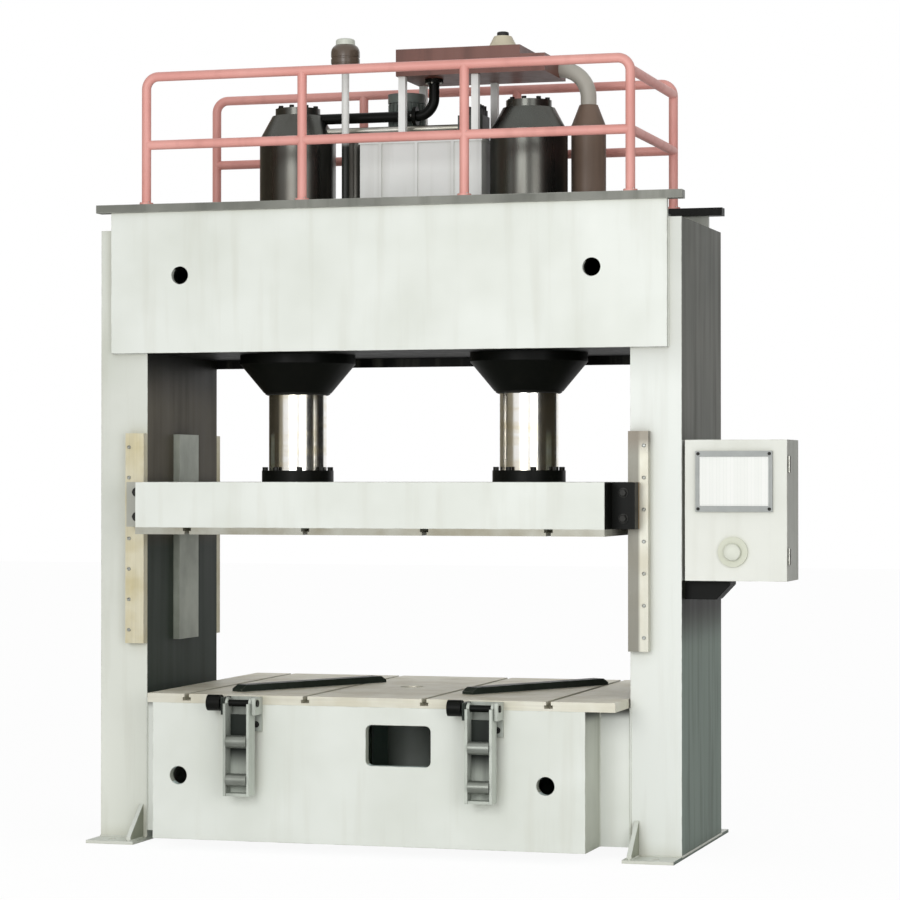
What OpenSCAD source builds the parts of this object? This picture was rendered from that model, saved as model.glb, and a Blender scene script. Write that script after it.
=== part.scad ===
// Two-cylinder frame press: welded uprights, crown and bed, guided slide, folding die arms, service deck.
// Origin on the floor, midway between the uprights and midway front to back; +X right, +Y to the rear, +Z up.

/* [Frame] */
// Width over both uprights
frame_w = 2680; // [2600:10:2800]
// Depth of the uprights and of the crown
frame_d = 870; // [840:5:900]
// Width of one upright seen from the front
upright_w = 225; // [215:1:235]
// Plate thickness of the uprights
upright_wall = 30; // [24:1:36]
// Height of the upright's top above the floor
upright_top = 2753; // [2740:1:2770]
// Height of the crown's underside above the floor
crown_z = 2195; // [2185:1:2240]
// Height of the crown beam
crown_h = 635; // [610:1:660]
// Plate thickness of the crown
crown_wall = 40; // [34:1:46]
// Half distance between the two middle ribs of the crown
crown_rib_x = 150; // [130:1:170]
// Thickness of the ribs inside the crown
crown_rib = 30; // [24:1:36]
// Thickness of the cover plates on the crown's front and rear
cover_t = 25; // [20:1:30]
// How far each cover plate stops short of the upright's outer edge
cover_inset = 58; // [50:1:66]
// How far the rear cover plate hangs below the crown
cover_drop = 40; // [32:1:48]
// Diameter of the lifting pin holes
lift_d = 80; // [70:1:90]
// Distance of the crown's lifting holes from the uprights' inner faces
crown_lift_in = 165; // [150:1:180]
// Height of the crown's lifting holes above its underside
crown_lift_z = 348; // [330:1:366]

/* [Feet] */
// Thickness of the sole plate under each upright
sole_t = 14; // [12:1:18]
// How far a sole plate reaches out in front of and behind its upright
sole_reach = 170; // [150:1:190]
// Diameter of the anchor bolt holes
anchor_d = 36; // [30:1:42]
// Distance of the anchor holes from the upright's face
anchor_out = 95; // [90:1:105]
// Distance of the anchor holes from the upright's outer edge
anchor_in = 95; // [85:1:105]
// Height and reach of the foot gussets
gusset_h = 150; // [135:1:165]
// Thickness of the foot gussets
gusset_t = 20; // [16:1:26]
// Distance of the foot gussets from the upright's inner edge
gusset_in = 18; // [12:1:24]

/* [Bed and table] */
// Height of the working face above the floor
table_z = 685; // [675:1:695]
// Height of the bed's underside above the floor
bed_clear = 47; // [40:1:54]
// How far bed, table and slide stand out in front of and behind the uprights
reach = 265; // [250:1:280]
// Gap between the uprights and the ends of the bed's front and rear boxes
bed_gap = 135; // [120:1:150]
// Plate thickness of the bed
bed_wall = 40; // [34:1:46]
// Half distance between the two ribs inside the bed
bed_rib_x = 420; // [400:1:440]
// Thickness of the ribs inside the bed
bed_rib = 30; // [24:1:36]
// Distance of the bed's lifting holes from its boxes' ends
bed_lift_in = 147; // [135:1:160]
// Height of the bed's lifting holes above the floor
bed_lift_z = 327; // [310:1:345]
// How far the bed's lifting holes sit to the left of the middle
bed_lift_off = 26; // [20:1:32]
// Width of the access window in the bed's front
window_w = 293; // [270:1:320]
// Height of the access window
window_h = 177; // [160:1:190]
// Distance of the access window to the right of the middle
window_x = 153; // [140:1:165]
// Height of the access window's middle above the floor
window_z = 480; // [465:1:490]
// Corner radius of the access window
window_r = 25; // [18:1:32]
// Gap between the table's right end and the upright
table_gap = 5; // [3:0.5:8]
// How far the table reaches past the bed's left end
table_past = 25; // [18:1:32]
// Thickness of the table's base plate
table_base = 10; // [8:1:14]
// Height of the table's slot bars
table_bar = 30; // [28:1:34]

/* [T slots] */
// Width of a slot's mouth
slot_w = 22; // [18:1:24]
// Width of a slot's head space
slot_head = 38; // [34:1:42]
// Part of a slot bar's height taken by the head space
slot_split = 0.5; // [0.45:0.01:0.55]
// Distance of the inner slots from the middle
slot_in = 270; // [255:1:285]
// Distance of the outer slots from the middle
slot_out = 820; // [800:1:840]

/* [Guides] */
// Height of the guides' lower end above the floor
guide_z0 = 890; // [885:1:895]
// Height of the guides' upper end above the floor
guide_z1 = 1834; // [1832:1:1850]
// Thickness of the guides on the uprights' front and rear faces
face_guide_t = 45; // [40:1:50]
// Width of the guides on the uprights' front and rear faces
face_guide_w = 88; // [84:1:96]
// Thickness of the guides on the uprights' inner faces
side_guide_t = 30; // [26:1:34]
// Width of the guides on the uprights' inner faces
side_guide_w = 240; // [220:1:260]
// Running gap between a guide and its liner
guide_gap = 0.4; // [0.3:0.05:0.6]

/* [Slide] */
// Height of the slide's top above the floor, as shown
slide_top = 1615; // [1612:1:1616]
// Height of the slide's welded box
slide_h = 200; // [192:1:206]
// Height of the slot bars under the slide
slide_bar = 30; // [26:1:32]
// Gap between the slide's ends and the uprights
slide_gap = 51; // [48:1:56]
// Plate thickness of the slide
slide_wall = 40; // [34:1:46]
// How far the guide shoes reach past the slide's ends
shoe_reach = 100; // [92:1:108]
// Thickness of the guide shoes
shoe_t = 70; // [60:1:80]
// Thickness of the shoe liners
liner_t = 12; // [10:0.5:14]
// Gap between the side liners' ends and the slide's top and bottom
liner_edge = 6; // [4:0.5:10]

/* [Cylinders] */
// Distance between the two cylinder axes
cyl_w = 1100; // [1085:1:1115]
// Outer diameter of a cylinder
cyl_od = 350; // [344:1:354]
// Bore of a cylinder
cyl_bore = 300; // [292:1:306]
// Height of a cylinder's closed end above the crown
cyl_tail = 360; // [352:1:370]
// Thickness of a cylinder's closed end
cyl_end = 70; // [60:1:76]
// Diameter of a ram
ram_d = 265; // [255:1:272]
// Height of a piston
piston_h = 160; // [150:1:170]
// Height of a ram from the slide's top to its piston's top
ram_h = 1265; // [1258:1:1275]
// Radial gap round a piston
piston_gap = 0.5; // [0.4:0.05:0.8]
// Outer diameter of the crown's cylinder sleeves
sleeve_d = 500; // [480:1:520]
// Radial gap between a cylinder and its sleeve
sleeve_gap = 0.3; // [0.3:0.05:0.5]
// Outer diameter of a cylinder's ring nut
nut_d = 392; // [386:1:394]
// Height of a cylinder's ring nut
nut_h = 52; // [44:1:60]
// Size of the spanner slots in a ring nut
nut_slot = 20; // [16:1:24]
// Depth of the spanner slots in a ring nut
nut_slot_in = 9; // [7:0.5:11]
// Upper diameter of a gland cone
gland_d = 530; // [515:1:545]
// Lower diameter of a gland cone
gland_tip_d = 310; // [302:1:320]
// Height of a gland's flange
gland_flange = 40; // [34:1:46]
// Height of a gland's cone
gland_cone_h = 132; // [122:1:138]
// Outer diameter of a gland bush
bush_d = 286; // [284:0.5:292]
// Radial gap between a gland bush and its ram
bush_gap = 0.4; // [0.3:0.05:0.6]
// Outer diameter of a ram flange
flange_d = 330; // [328:1:338]
// Height of a ram flange
flange_h = 52; // [46:1:58]
// Bolts in one ram flange
flange_bolts_n = 8; // [6:2:10]
// Gap between a ram and the bolt heads on its flange
bolt_gap = 4; // [3:0.5:5]
// Head diameter of a ram flange bolt
bolt_head_d = 26; // [23:1:27]
// Head height of a ram flange bolt
bolt_head_h = 16; // [14:1:18]
// Key size of a ram flange bolt
bolt_key = 14; // [12:1:15]

/* [Oil system] */
// Height of the filling valves' cone
valve_cone_h = 105; // [98:1:112]
// Diameter at the top of the filling valves' cone
valve_top_d = 236; // [228:1:244]
// How far the filling valves' cap stands back
valve_step = 15; // [12:1:18]
// Height of the filling valves' cap
valve_cap_h = 34; // [30:1:38]
// Left end of the oil tank
tank_x0 = -210; // [-214:1:-204]
// Right end of the oil tank
tank_x1 = 362; // [354:1:364]
// Front face of the oil tank
tank_y0 = -120; // [-124:1:-112]
// Rear face of the oil tank
tank_y1 = 300; // [285:1:315]
// Height of the oil tank's lid above the deck
tank_h = 318; // [310:1:326]
// Height of the oil tank's feet
tank_foot = 60; // [56:1:66]
// Width of the oil tank's feet
tank_foot_w = 40; // [34:1:44]
// Thickness of the oil tank's lid
lid_t = 12; // [10:1:14]
// How far the oil tank's lid stands out at its ends
lid_out = 5; // [3:0.5:7]
// Distance of the oil tank's first rib from its left end
tank_rib_x = 90; // [80:1:100]
// Distance between the oil tank's ribs
tank_rib_step = 170; // [160:1:180]
// Width of the oil tank's ribs
tank_rib_w = 14; // [12:1:16]
// How far the oil tank's ribs stand out
tank_rib_t = 6; // [5:0.5:8]
// Height of the fill tank's underside above the deck
fill_z = 606; // [600:1:616]
// Height of the fill tank
fill_h = 121; // [112:1:130]
// Height of the fill tank's low end
fill_low_h = 80; // [74:1:86]
// Left end of the fill tank
fill_x0 = -34; // [-40:1:-28]
// Where the fill tank steps down
fill_xs = 545; // [530:1:560]
// Right end of the fill tank
fill_x1 = 660; // [650:1:666]
// Half depth of the fill tank
fill_half = 190; // [175:1:205]
// Distance of the fill tank's middle behind the cylinders
fill_y = 50; // [44:1:56]
// Distance of the breather from the middle
breather_x = 415; // [405:1:425]
// Diameter of the breather's neck
breather_neck_d = 120; // [112:1:128]
// Height of the breather's neck
breather_neck_h = 6; // [5:0.5:8]
// Lower diameter of the breather's cone
breather_d = 140; // [132:1:148]
// Upper diameter of the breather's cone
breather_tip_d = 80; // [74:1:86]
// Height of the breather's cone
breather_cone_h = 62; // [56:1:68]
// Diameter of the breather's cap
breather_cap_d = 54; // [48:1:60]
// Height of the breather's cap
breather_cap_h = 20; // [16:1:24]
// Size of the fill tank's legs
leg_s = 32; // [28:1:36]
// Distance of the legs' inner sides from the fill tank's middle line
leg_y = 145; // [138:1:148]
// Distance of the left legs from the fill tank's end
leg_left = 8; // [4:1:16]
// Distance of the right legs from the oil tank's end
leg_right = 14; // [8:1:20]
// Outer diameter of the left suction pipe
pipe_d = 48; // [44:1:52]
// Height of the left suction pipe above the deck
pipe_z = 441; // [437:1:445]
// Bend radius of the left suction pipe
pipe_r = 80; // [74:1:86]
// Distance of the left suction pipe's riser from the middle
pipe_x = 105; // [99:1:111]
// How far the pipe flanges stand out round the left suction pipe
pipe_lip = 18; // [14:1:22]
// Thickness of the left suction pipe's flanges
pipe_lip_t = 17; // [14:1:20]
// How far pipes reach into the left filling valve, from its axis
pipe_in = 20; // [10:1:30]
// Outer diameter of the right suction pipe
right_pipe_d = 72; // [64:1:76]
// Outer diameter of the right filter housing
filter_d = 170; // [160:1:174]
// Height of the right filter housing under its conical top
filter_h = 385; // [375:1:395]
// Length of the right suction pipe's straight end above the filter housing
filter_neck = 34; // [28:1:40]
// How far the conical top stands out round its pipe
filter_tip = 6; // [4:0.5:8]
// Distance of the right filter housing from the middle
filter_x = 792; // [788:1:800]
// Distance of the right filter housing behind the cylinders
filter_y = 140; // [136:1:146]
// Height of the filter housings' caps
filter_cap = 20; // [16:1:24]
// How far the filter housings' caps stand out
filter_lip = 6; // [4:0.5:8]
// Outer diameter of the left filter housing
small_filter_d = 122; // [118:1:124]
// Height of the left filter housing
small_filter_h = 345; // [335:1:352]
// Distance of the left filter housing from the middle
small_filter_x = -282; // [-285:1:-279]
// Distance of the left filter housing behind the cylinders
small_filter_y = 40; // [34:1:46]
// Outer diameter of the pump motor
motor_d = 170; // [160:1:174]
// Height of the pump motor
motor_h = 236; // [222:1:242]
// Distance of the pump motor from the middle
motor_x = -62; // [-66:1:-60]
// Distance of the pump motor behind the cylinders
motor_y = 115; // [111:1:116]
// Thickness of the pump motor's foot flange
motor_foot = 14; // [12:1:16]
// Height of the pump motor's neck
motor_neck = 56; // [50:1:60]
// Radial height of the pump motor's fins
motor_fin = 12; // [10:0.5:14]
// Thickness of the pump motor's fins
motor_fin_t = 5; // [4:0.5:6]
// Height of the pump motor's fan hood
motor_hood = 41; // [36:1:46]
// Cooling fins on the pump motor
motor_fins = 20; // [16:2:24]
// Diameter of the pressure pipe
press_d = 32; // [28:1:34]
// Gap between the pressure pipe and the suction pipe's flange
press_gap = 4; // [3:0.5:6]
// Distance of the pressure pipe in front of the cylinders
press_y = 22; // [20:1:24]
// Length of the valve block
block_l = 116; // [108:1:124]
// Right face of the valve block
block_x1 = 350; // [345:1:354]
// Half depth of the valve block
block_half = 60; // [54:1:66]
// Height of the valve block
block_h = 112; // [104:1:120]
// Distance between the solenoid valves
solenoid_step = 40; // [38:0.5:42]
// Width of a solenoid valve
solenoid_w = 32; // [28:1:34]
// Height of a solenoid valve's body
solenoid_h = 30; // [26:1:34]
// Distance of the solenoid valves from the valve block's ends
solenoid_in = 8; // [5:0.5:12]
// Diameter of a solenoid's coil
coil_d = 26; // [22:1:28]
// Height of a solenoid's coil
coil_h = 20; // [16:1:24]
// Diameter of the lamp pole
pole_d = 34; // [30:1:38]
// Height of the lamp pole
pole_h = 642; // [630:1:655]
// Distance of the lamp pole from the middle
pole_x = -278; // [-282:1:-275]
// Distance of the lamp pole in front of the cylinders
pole_y = 125; // [118:1:132]
// Diameter of the lamp
lamp_d = 132; // [122:1:142]
// Height of the lamp
lamp_h = 88; // [80:1:96]
// Height of the lamp's cap
lamp_cap_h = 30; // [26:1:34]
// How far the lamp's cap narrows
lamp_cap_in = 22; // [18:1:26]
// Height of the pale tip on the lamp's cap
lamp_tip_h = 28; // [22:1:34]
// Thickness of the lamp pole's foot
pole_foot = 10; // [8:1:12]
// How far the lamp pole's foot stands out
pole_foot_out = 7; // [5:0.5:9]

/* [Deck and railing] */
// Thickness of the deck plate
deck_t = 8; // [6:1:10]
// Height of the deck's edge bars
edge_h = 36; // [32:1:42]
// How far the edge bars stand out in front of the cover plates
edge_out = 15; // [10:1:20]
// How far the edge bars reach in over the crown
edge_in = 25; // [20:1:30]
// How far the edge bars reach past the uprights
edge_past = 10; // [6:1:14]
// Outer diameter of the railing tubes
rail_d = 42; // [38:1:45]
// Height of the top rail's axis above the deck
rail_z = 604; // [590:1:618]
// Height of the middle rail's axis above the deck
rail_mid = 296; // [284:1:308]
// Bend radius of the top rail's ends
rail_r = 56; // [50:1:62]
// Distance of the railing's end posts from the uprights' outer edges
rail_in = 222; // [210:1:235]
// Distance between the railing's middle posts
rail_mid_w = 750; // [730:2:770]
// Diameter of a post's base flange
post_foot_d = 62; // [58:1:64]
// Thickness of a post's base flange
post_foot_t = 8; // [6:1:10]
// Gap cut round a tube where another meets it
rail_gap = 0.3; // [0.3:0.05:0.5]

/* [Control box] */
// Gap between the upright and the control box
ctrl_gap = 14; // [12:1:18]
// Width of the control box
ctrl_w = 440; // [425:1:455]
// Height of the control box
ctrl_h = 602; // [590:1:615]
// Height of the control box's underside above the floor
ctrl_z = 1194; // [1185:1:1205]
// Depth of the control box's shell
ctrl_d = 260; // [245:1:275]
// Sheet thickness of the control box
ctrl_wall = 8; // [6:1:10]
// Thickness of the control box's door
door_t = 22; // [18:1:26]
// Gap round the door
door_gap = 1; // [0.8:0.1:1.5]
// Width of the display's frame
bezel_w = 331; // [322:1:338]
// Height of the display's frame
bezel_h = 259; // [250:1:266]
// Height of the display's frame above the box's underside
bezel_z = 295; // [288:1:300]
// Distance of the display's frame from the box's left side
bezel_x = 48; // [44:1:54]
// Thickness of the display's frame
bezel_t = 14; // [12:1:18]
// Side width of the display's frame
bezel_side = 16; // [13:1:20]
// Upper and lower width of the display's frame
bezel_bar = 24; // [20:1:28]
// Diameter of the stop button's plate
stop_plate_d = 128; // [118:1:136]
// Height of the stop button above the box's underside
stop_z = 124; // [118:1:130]
// Distance of the stop button from the box's left side
stop_x = 208; // [200:1:216]
// Diameter of the stop button's cap
stop_cap_d = 74; // [66:1:80]
// Diameter of the stop button's stem
stop_stem_d = 32; // [28:1:36]
// Height of the stop button's cap
stop_cap_h = 18.5; // [16:0.5:22]
// Thickness of the stop button's plate
stop_plate_t = 12; // [10:0.5:12]
// Radial gap round the stop button's stem
stop_gap = 0.5; // [0.4:0.05:0.8]
// Travel of the stop button
stop_travel = 5; // [4:0.5:6]
// Diameter of the door's hinge barrels
hinge_d = 12; // [10:0.5:14]
// Length of the door's hinge barrels
hinge_l = 70; // [60:1:80]
// Distance of the control box's wall plate from the shell's upper and lower edges
mount_in = 60; // [50:1:70]
// Distance of the wall plate behind the shell's front edge
mount_y0 = 40; // [34:1:46]
// Distance of the wall plate from the shell's rear edge
mount_y1 = 20; // [16:1:26]
// Distance of the shelf behind the shell's front edge
shelf_y = 50; // [44:1:56]
// Thickness of the shelf's front lip
shelf_t = 20; // [16:1:24]
// Distance of the hinges from the door's upper and lower edges
hinge_in = 70; // [60:1:80]
// Width of a hinge's leaf
hinge_leaf = 24; // [20:1:28]
// Length of the shelf under the control box
shelf_l = 196; // [185:1:205]
// Height of the shelf under the control box
shelf_h = 82; // [76:1:88]
// Depth of the shelf under the control box
shelf_d = 130; // [120:1:140]

/* [Die rails and arms] */
// Distance of the arms from the middle
arm_x = 545; // [535:1:555]
// Width of a die rail
rail_bar_w = 64; // [56:1:72]
// Height of a die rail
rail_bar_h = 30; // [26:1:34]
// Length of a die rail
rail_bar_l = 880; // [840:5:920]
// Turn of the die rails away from the line from front to rear
rail_turn = 29; // [25:1:33]
// Distance of the left die rail's middle from the press's middle
rail_left_x = 440; // [425:1:455]
// Distance of the left die rail's middle in front of the press's middle
rail_left_y = 130; // [115:1:145]
// Distance of the right die rail's middle from the press's middle
rail_right_x = 586; // [571:1:600]
// Distance of an arm's pin in front of the table
arm_out = 70; // [66:1:76]
// Distance of an arm's pin below the working face
arm_drop = 30; // [27:1:33]
// Diameter of an arm's pin
arm_pin_d = 30; // [26:1:32]
// Gap round an arm's pin
arm_pin_gap = 0.4; // [0.3:0.05:0.5]
// Outer width of an arm
arm_w = 120; // [112:1:124]
// Plate thickness of an arm
arm_t = 12; // [10:1:14]
// Length of an arm below its pin
arm_l = 400; // [385:1:415]
// Distance from an arm's pin to its front edge
arm_front = 50; // [46:1:52]
// Distance from an arm's pin to its rear edge
arm_back = 25; // [23:1:26]
// Diameter of an arm's rollers
roller_d = 56; // [50:1:58]
// Distance of the roller axes in front of an arm's pin
roller_out = 32; // [31:1:34]
// Diameter of the roller axles
axle_d = 20; // [17:1:22]
// Radial gap inside a roller
roller_gap = 0.4; // [0.3:0.05:0.6]
// Side gap of a roller
roller_side = 1.5; // [1:0.1:2.5]
// Distance of the lower roller from an arm's end
roller_end = 70; // [62:1:76]
// Length of an arm's open upper end
arm_open = 50; // [46:1:56]
// How far the arms' bottom plate stands back from their front edge
arm_lip = 6; // [4:0.5:8]
// How far the hinge pins and axles stand out
pin_out = 5; // [4:0.5:6]
// Diameter of the hinge pins' knobs
pin_knob_d = 70; // [64:1:76]
// Length of the hinge pins' knobs
pin_knob_l = 62; // [56:1:68]
// Thickness of the arm brackets' cheeks
cheek_t = 16; // [14:1:18]
// Gap between an arm and its bracket's cheeks
cheek_gap = 3; // [2:0.5:4]
// Thickness of the arm brackets' back plate
back_t = 14; // [12:1:16]
// Height of the arm brackets
bracket_h = 150; // [140:1:160]

/* [Ejector] */
// Diameter of the ejector rod
eject_d = 90; // [84:1:94]
// Diameter of the ejector hole through table and bed
eject_hole = 104; // [100:1:110]
// Radial gap between the ejector rod and its cylinder
eject_gap = 0.4; // [0.3:0.05:0.6]
// Outer diameter of the ejector cylinder
eject_od = 220; // [208:1:230]
// Outer diameter of the ejector cylinder's flange
eject_flange_d = 320; // [306:1:330]
// Height of the ejector cylinder's flange
eject_flange_h = 40; // [36:1:46]
// Height of the ejector cylinder below its flange
eject_h = 390; // [375:1:400]
// Thickness of the ejector cylinder's bottom
eject_end = 40; // [34:1:46]
// Distance of the ejector rod's end below the working face
eject_low = 5; // [3:0.5:8]
// Length of the ejector rod
eject_l = 375; // [365:1:385]

/* [Hidden] */
$fn = 64;
half_w = frame_w / 2;
half_open = half_w - upright_w;
half_d = frame_d / 2;
front = half_d + reach;
crown_top = crown_z + crown_h;
deck_top = crown_top + deck_t;
cyl_x = cyl_w / 2;
table_end = half_open - table_gap;
bed_half = half_open - bed_gap;
bed_lift_x = bed_half - bed_lift_in;
crown_lift_x = half_open - crown_lift_in;
bed_z0 = bed_clear;
table_left = bed_half + table_past;
flange_pcd = ram_d + bolt_head_d + 2 * bolt_gap;
right_bend = filter_x - fill_x1;
filter_cone = fill_z + fill_low_h / 2 - right_bend - filter_neck - filter_h;
bed_z1 = table_z - table_bar - table_base;
slide_half = half_open - slide_gap;
slide_z0 = slide_top - slide_h;
cyl_top = crown_top + cyl_tail;
valve_top = cyl_top + valve_cone_h + valve_cap_h;
guide_face = half_d + face_guide_t;
shoe_y0 = guide_face + guide_gap + liner_t;
edge_y0 = half_d + cover_t + edge_out;
edge_y1 = half_d - edge_in;
post_y = (edge_y0 + edge_y1) / 2;
post_z = crown_top + edge_h;
top_z = deck_top + rail_z;
mid_z = deck_top + rail_mid;
post_x = half_w - rail_in;
mid_post_x = rail_mid_w / 2;
ctrl_x0 = half_w + ctrl_gap;
ctrl_x1 = ctrl_x0 + ctrl_w;
ctrl_y = half_d - door_t - door_gap;
door_y = half_d;
tank_top = deck_top + tank_h;
fill_bottom = deck_top + fill_z;
press_z = pipe_z - pipe_d / 2 - pipe_lip - press_d / 2 - press_gap;
pin_y = front + arm_out;
pin_z = table_z - arm_drop;
cheek_x = arm_w / 2 + cheek_gap;
roller_b = arm_l - roller_end;
roller_a = roller_b / 2;
roller_l = arm_w - 2 * arm_t - 2 * roller_side;
eject_z1 = bed_z1 - bed_wall;

// A block given by its six faces
module block(x0, x1, y0, y1, z0, z1) {
  translate([x0, y0, z0]) cube([x1 - x0, y1 - y0, z1 - z0]);
}

// A round bar along X
module bar_x(x0, x1, y, z, d) {
  translate([x0, y, z]) rotate([0, 90, 0]) cylinder(d = d, h = x1 - x0);
}

// A round bar along Y
module bar_y(x, y0, y1, z, d) {
  translate([x, y0, z]) rotate([-90, 0, 0]) cylinder(d = d, h = y1 - y0);
}

// A round bar along Z
module bar_z(x, y, z0, z1, d) {
  translate([x, y, z0]) cylinder(d = d, h = z1 - z0);
}

// A piece and its mirror image to the left
module pair() {
  children();
  mirror([1, 0, 0]) children();
}

// A piece and its mirror image to the rear
module front_rear() {
  children();
  mirror([0, 1, 0]) children();
}

// Welded box column, open at its foot
module upright() {
  difference() {
    block(half_open, half_w, -half_d, half_d, sole_t, upright_top);
    block(half_open + upright_wall, half_w - upright_wall, -half_d + upright_wall,
      half_d - upright_wall, sole_t - 1, upright_top - upright_wall);
  }
}

module left_upright() {
  color([0.88, 0.9, 0.87]) mirror([1, 0, 0]) upright();
}

module right_upright() {
  color([0.88, 0.9, 0.87]) upright();
}

// Long floor plates with the anchor holes
module sole_plates() {
  color([0.3, 0.33, 0.3]) pair() difference() {
    block(half_open, half_w, -half_d - sole_reach, half_d + sole_reach, 0, sole_t);
    front_rear() bar_z(half_w - anchor_in, half_d + anchor_out, -1, sole_t + 1, anchor_d);
  }
}

// Three-cornered stiffeners between the soles and the uprights
module foot_gussets() {
  color([0.4, 0.43, 0.38]) pair() front_rear()
    translate([half_open + gusset_in, half_d, sole_t]) rotate([90, 0, 90])
      linear_extrude(gusset_t) polygon([[0, 0], [gusset_h, 0], [gusset_h, gusset_h * 0.12], [0, gusset_h]]);
}

// Welded box beam with two cylinder sleeves
module crown() {
  color([0.36, 0.39, 0.36]) difference() {
    union() {
      difference() {
        block(-half_open, half_open, -half_d, half_d, crown_z, crown_top);
        block(-crown_rib_x + crown_rib / 2, crown_rib_x - crown_rib / 2, -half_d + crown_wall,
          half_d - crown_wall, crown_z + crown_wall, crown_top - crown_wall);
        pair() block(crown_rib_x + crown_rib / 2, half_open - crown_wall, -half_d + crown_wall,
          half_d - crown_wall, crown_z + crown_wall, crown_top - crown_wall);
      }
      pair() bar_z(cyl_x, 0, crown_z + 1, crown_top - 1, sleeve_d);
    }
    pair() bar_z(cyl_x, 0, crown_z - 1, crown_top + 1, cyl_od + 2 * sleeve_gap);
    pair() bar_y(crown_lift_x, -half_d - 1, -half_d + crown_wall + 1, crown_z + crown_lift_z, lift_d);
  }
}

// Cover plates that tie the crown to the uprights, the front one with lifting holes, the rear one deeper
module crown_covers() {
  color([0.9, 0.92, 0.89]) {
    difference() {
      block(-half_w + cover_inset, half_w - cover_inset, -half_d - cover_t, -half_d, crown_z, crown_top);
      pair() bar_y(crown_lift_x, -half_d - cover_t - 1, -half_d + 1, crown_z + crown_lift_z, lift_d);
    }
    block(-half_w + cover_inset, half_w - cover_inset, half_d, half_d + cover_t, crown_z - cover_drop,
      crown_top);
  }
}

// Walking plate on the crown
module deck_plate() {
  color([0.45, 0.47, 0.45]) difference() {
    block(-half_open, half_open, -edge_y1, edge_y1, crown_top, deck_top);
    pair() bar_z(cyl_x, 0, crown_top - 1, deck_top + 1, nut_d + 10);
  }
}

// Dark edge bars along the front and rear of the deck
module deck_edges() {
  color([0.16, 0.17, 0.16]) front_rear()
    block(-half_w - edge_past, half_w + edge_past, edge_y1, edge_y0, crown_top, crown_top + edge_h);
}

// Outline of the access window
module window_outline() {
  hull_w = window_w - 2 * window_r;
  hull_h = window_h - 2 * window_r;
  union() {
    square([window_w, hull_h], center = true);
    square([hull_w, window_h], center = true);
    for (sx = [-1, 1], sz = [-1, 1]) translate([sx * hull_w / 2, sz * hull_h / 2]) circle(r = window_r);
  }
}

// Welded bed with front and rear boxes
module bed() {
  color([0.88, 0.9, 0.87]) difference() {
    union() {
      block(-half_open, half_open, -half_d, half_d, bed_z0, bed_z1);
      block(-bed_half, bed_half, -front, front, bed_z0, bed_z1);
    }
    block(-bed_rib_x + bed_rib / 2, bed_rib_x - bed_rib / 2, -front + bed_wall, front - bed_wall,
      bed_z0 + bed_wall, bed_z1 - bed_wall);
    pair() block(bed_rib_x + bed_rib / 2, bed_half - bed_wall, -front + bed_wall, front - bed_wall,
      bed_z0 + bed_wall, bed_z1 - bed_wall);
    translate([window_x, -front - 1, window_z]) rotate([-90, 0, 0])
      linear_extrude(bed_wall + 2) window_outline();
    translate([-bed_lift_off, 0, 0]) pair()
      bar_y(bed_lift_x, -front - 1, -front + bed_wall + 1, bed_lift_z, lift_d);
    bar_z(0, 0, bed_z1 - bed_wall - 1, bed_z1 + 1, eject_hole);
  }
}

// One slot bar, its mouth side up, between two stated X values
module slot_bar(x0, x1, y1, h, left, right) {
  step = (slot_head - slot_w) / 2;
  low = h * slot_split;
  block(x0 + left * step, x1 - right * step, -y1, y1, 0, low);
  block(x0, x1, -y1, y1, low, h);
}

// Five slot bars in a row with four slots between them, from a left end to a right end
module slot_row(left_end, right_end, y1, h) {
  a = slot_in - slot_w / 2;
  b = slot_in + slot_w / 2;
  c = slot_out - slot_w / 2;
  d = slot_out + slot_w / 2;
  slot_bar(-a, a, y1, h, 1, 1);
  pair() slot_bar(b, c, y1, h, 1, 1);
  slot_bar(d, right_end, y1, h, 1, 0);
  mirror([1, 0, 0]) slot_bar(d, left_end, y1, h, 1, 0);
}

// Base plate of the table
module worktable() {
  color([0.8, 0.79, 0.7]) difference() {
    block(-table_left, table_end, -front, front, bed_z1, bed_z1 + table_base);
    bar_z(0, 0, bed_z1 - 1, table_z + 1, eject_hole);
  }
}

// Five slot bars on the table, mouths up
module table_bars() {
  color([0.8, 0.79, 0.7]) difference() {
    translate([0, 0, bed_z1 + table_base]) slot_row(table_left, table_end, front, table_bar);
    bar_z(0, 0, bed_z1 - 1, table_z + 1, eject_hole);
  }
}

// One die rail with ramped ends, turned on the table round its middle
module die_rail(x, y) {
  half = rail_bar_l / 2;
  nose = rail_bar_h * 0.4;
  translate([x, y, table_z]) rotate([0, 0, -rail_turn]) translate([-rail_bar_w / 2, 0, 0]) rotate([90, 0, 90])
    linear_extrude(rail_bar_w) polygon([[-half, 0], [half, 0], [half, nose], [half - rail_bar_h, rail_bar_h],
      [-half + rail_bar_h, rail_bar_h], [-half, nose]]);
}

// Dark rails laid slantwise on the table, as shown
module die_rails() {
  color([0.13, 0.14, 0.12]) {
    die_rail(-rail_left_x, -rail_left_y);
    die_rail(rail_right_x, 0);
  }
}

// Back plates and cheeks that carry the arms
module arm_brackets() {
  color([0.2, 0.22, 0.2]) pair() difference() {
    union() {
      block(arm_x - cheek_x - cheek_t, arm_x + cheek_x + cheek_t, -front - back_t, -front,
        pin_z + arm_back - bracket_h, pin_z + arm_back);
      for (x = [arm_x - cheek_x - cheek_t, arm_x + cheek_x])
        block(x, x + cheek_t, -pin_y - arm_back, -front - back_t + 1, pin_z + arm_back - bracket_h / 2,
          pin_z + arm_back);
    }
    bar_x(arm_x - cheek_x - cheek_t - 1, arm_x + cheek_x + cheek_t + 1, -pin_y, pin_z,
      arm_pin_d + 2 * arm_pin_gap);
  }
}

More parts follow.
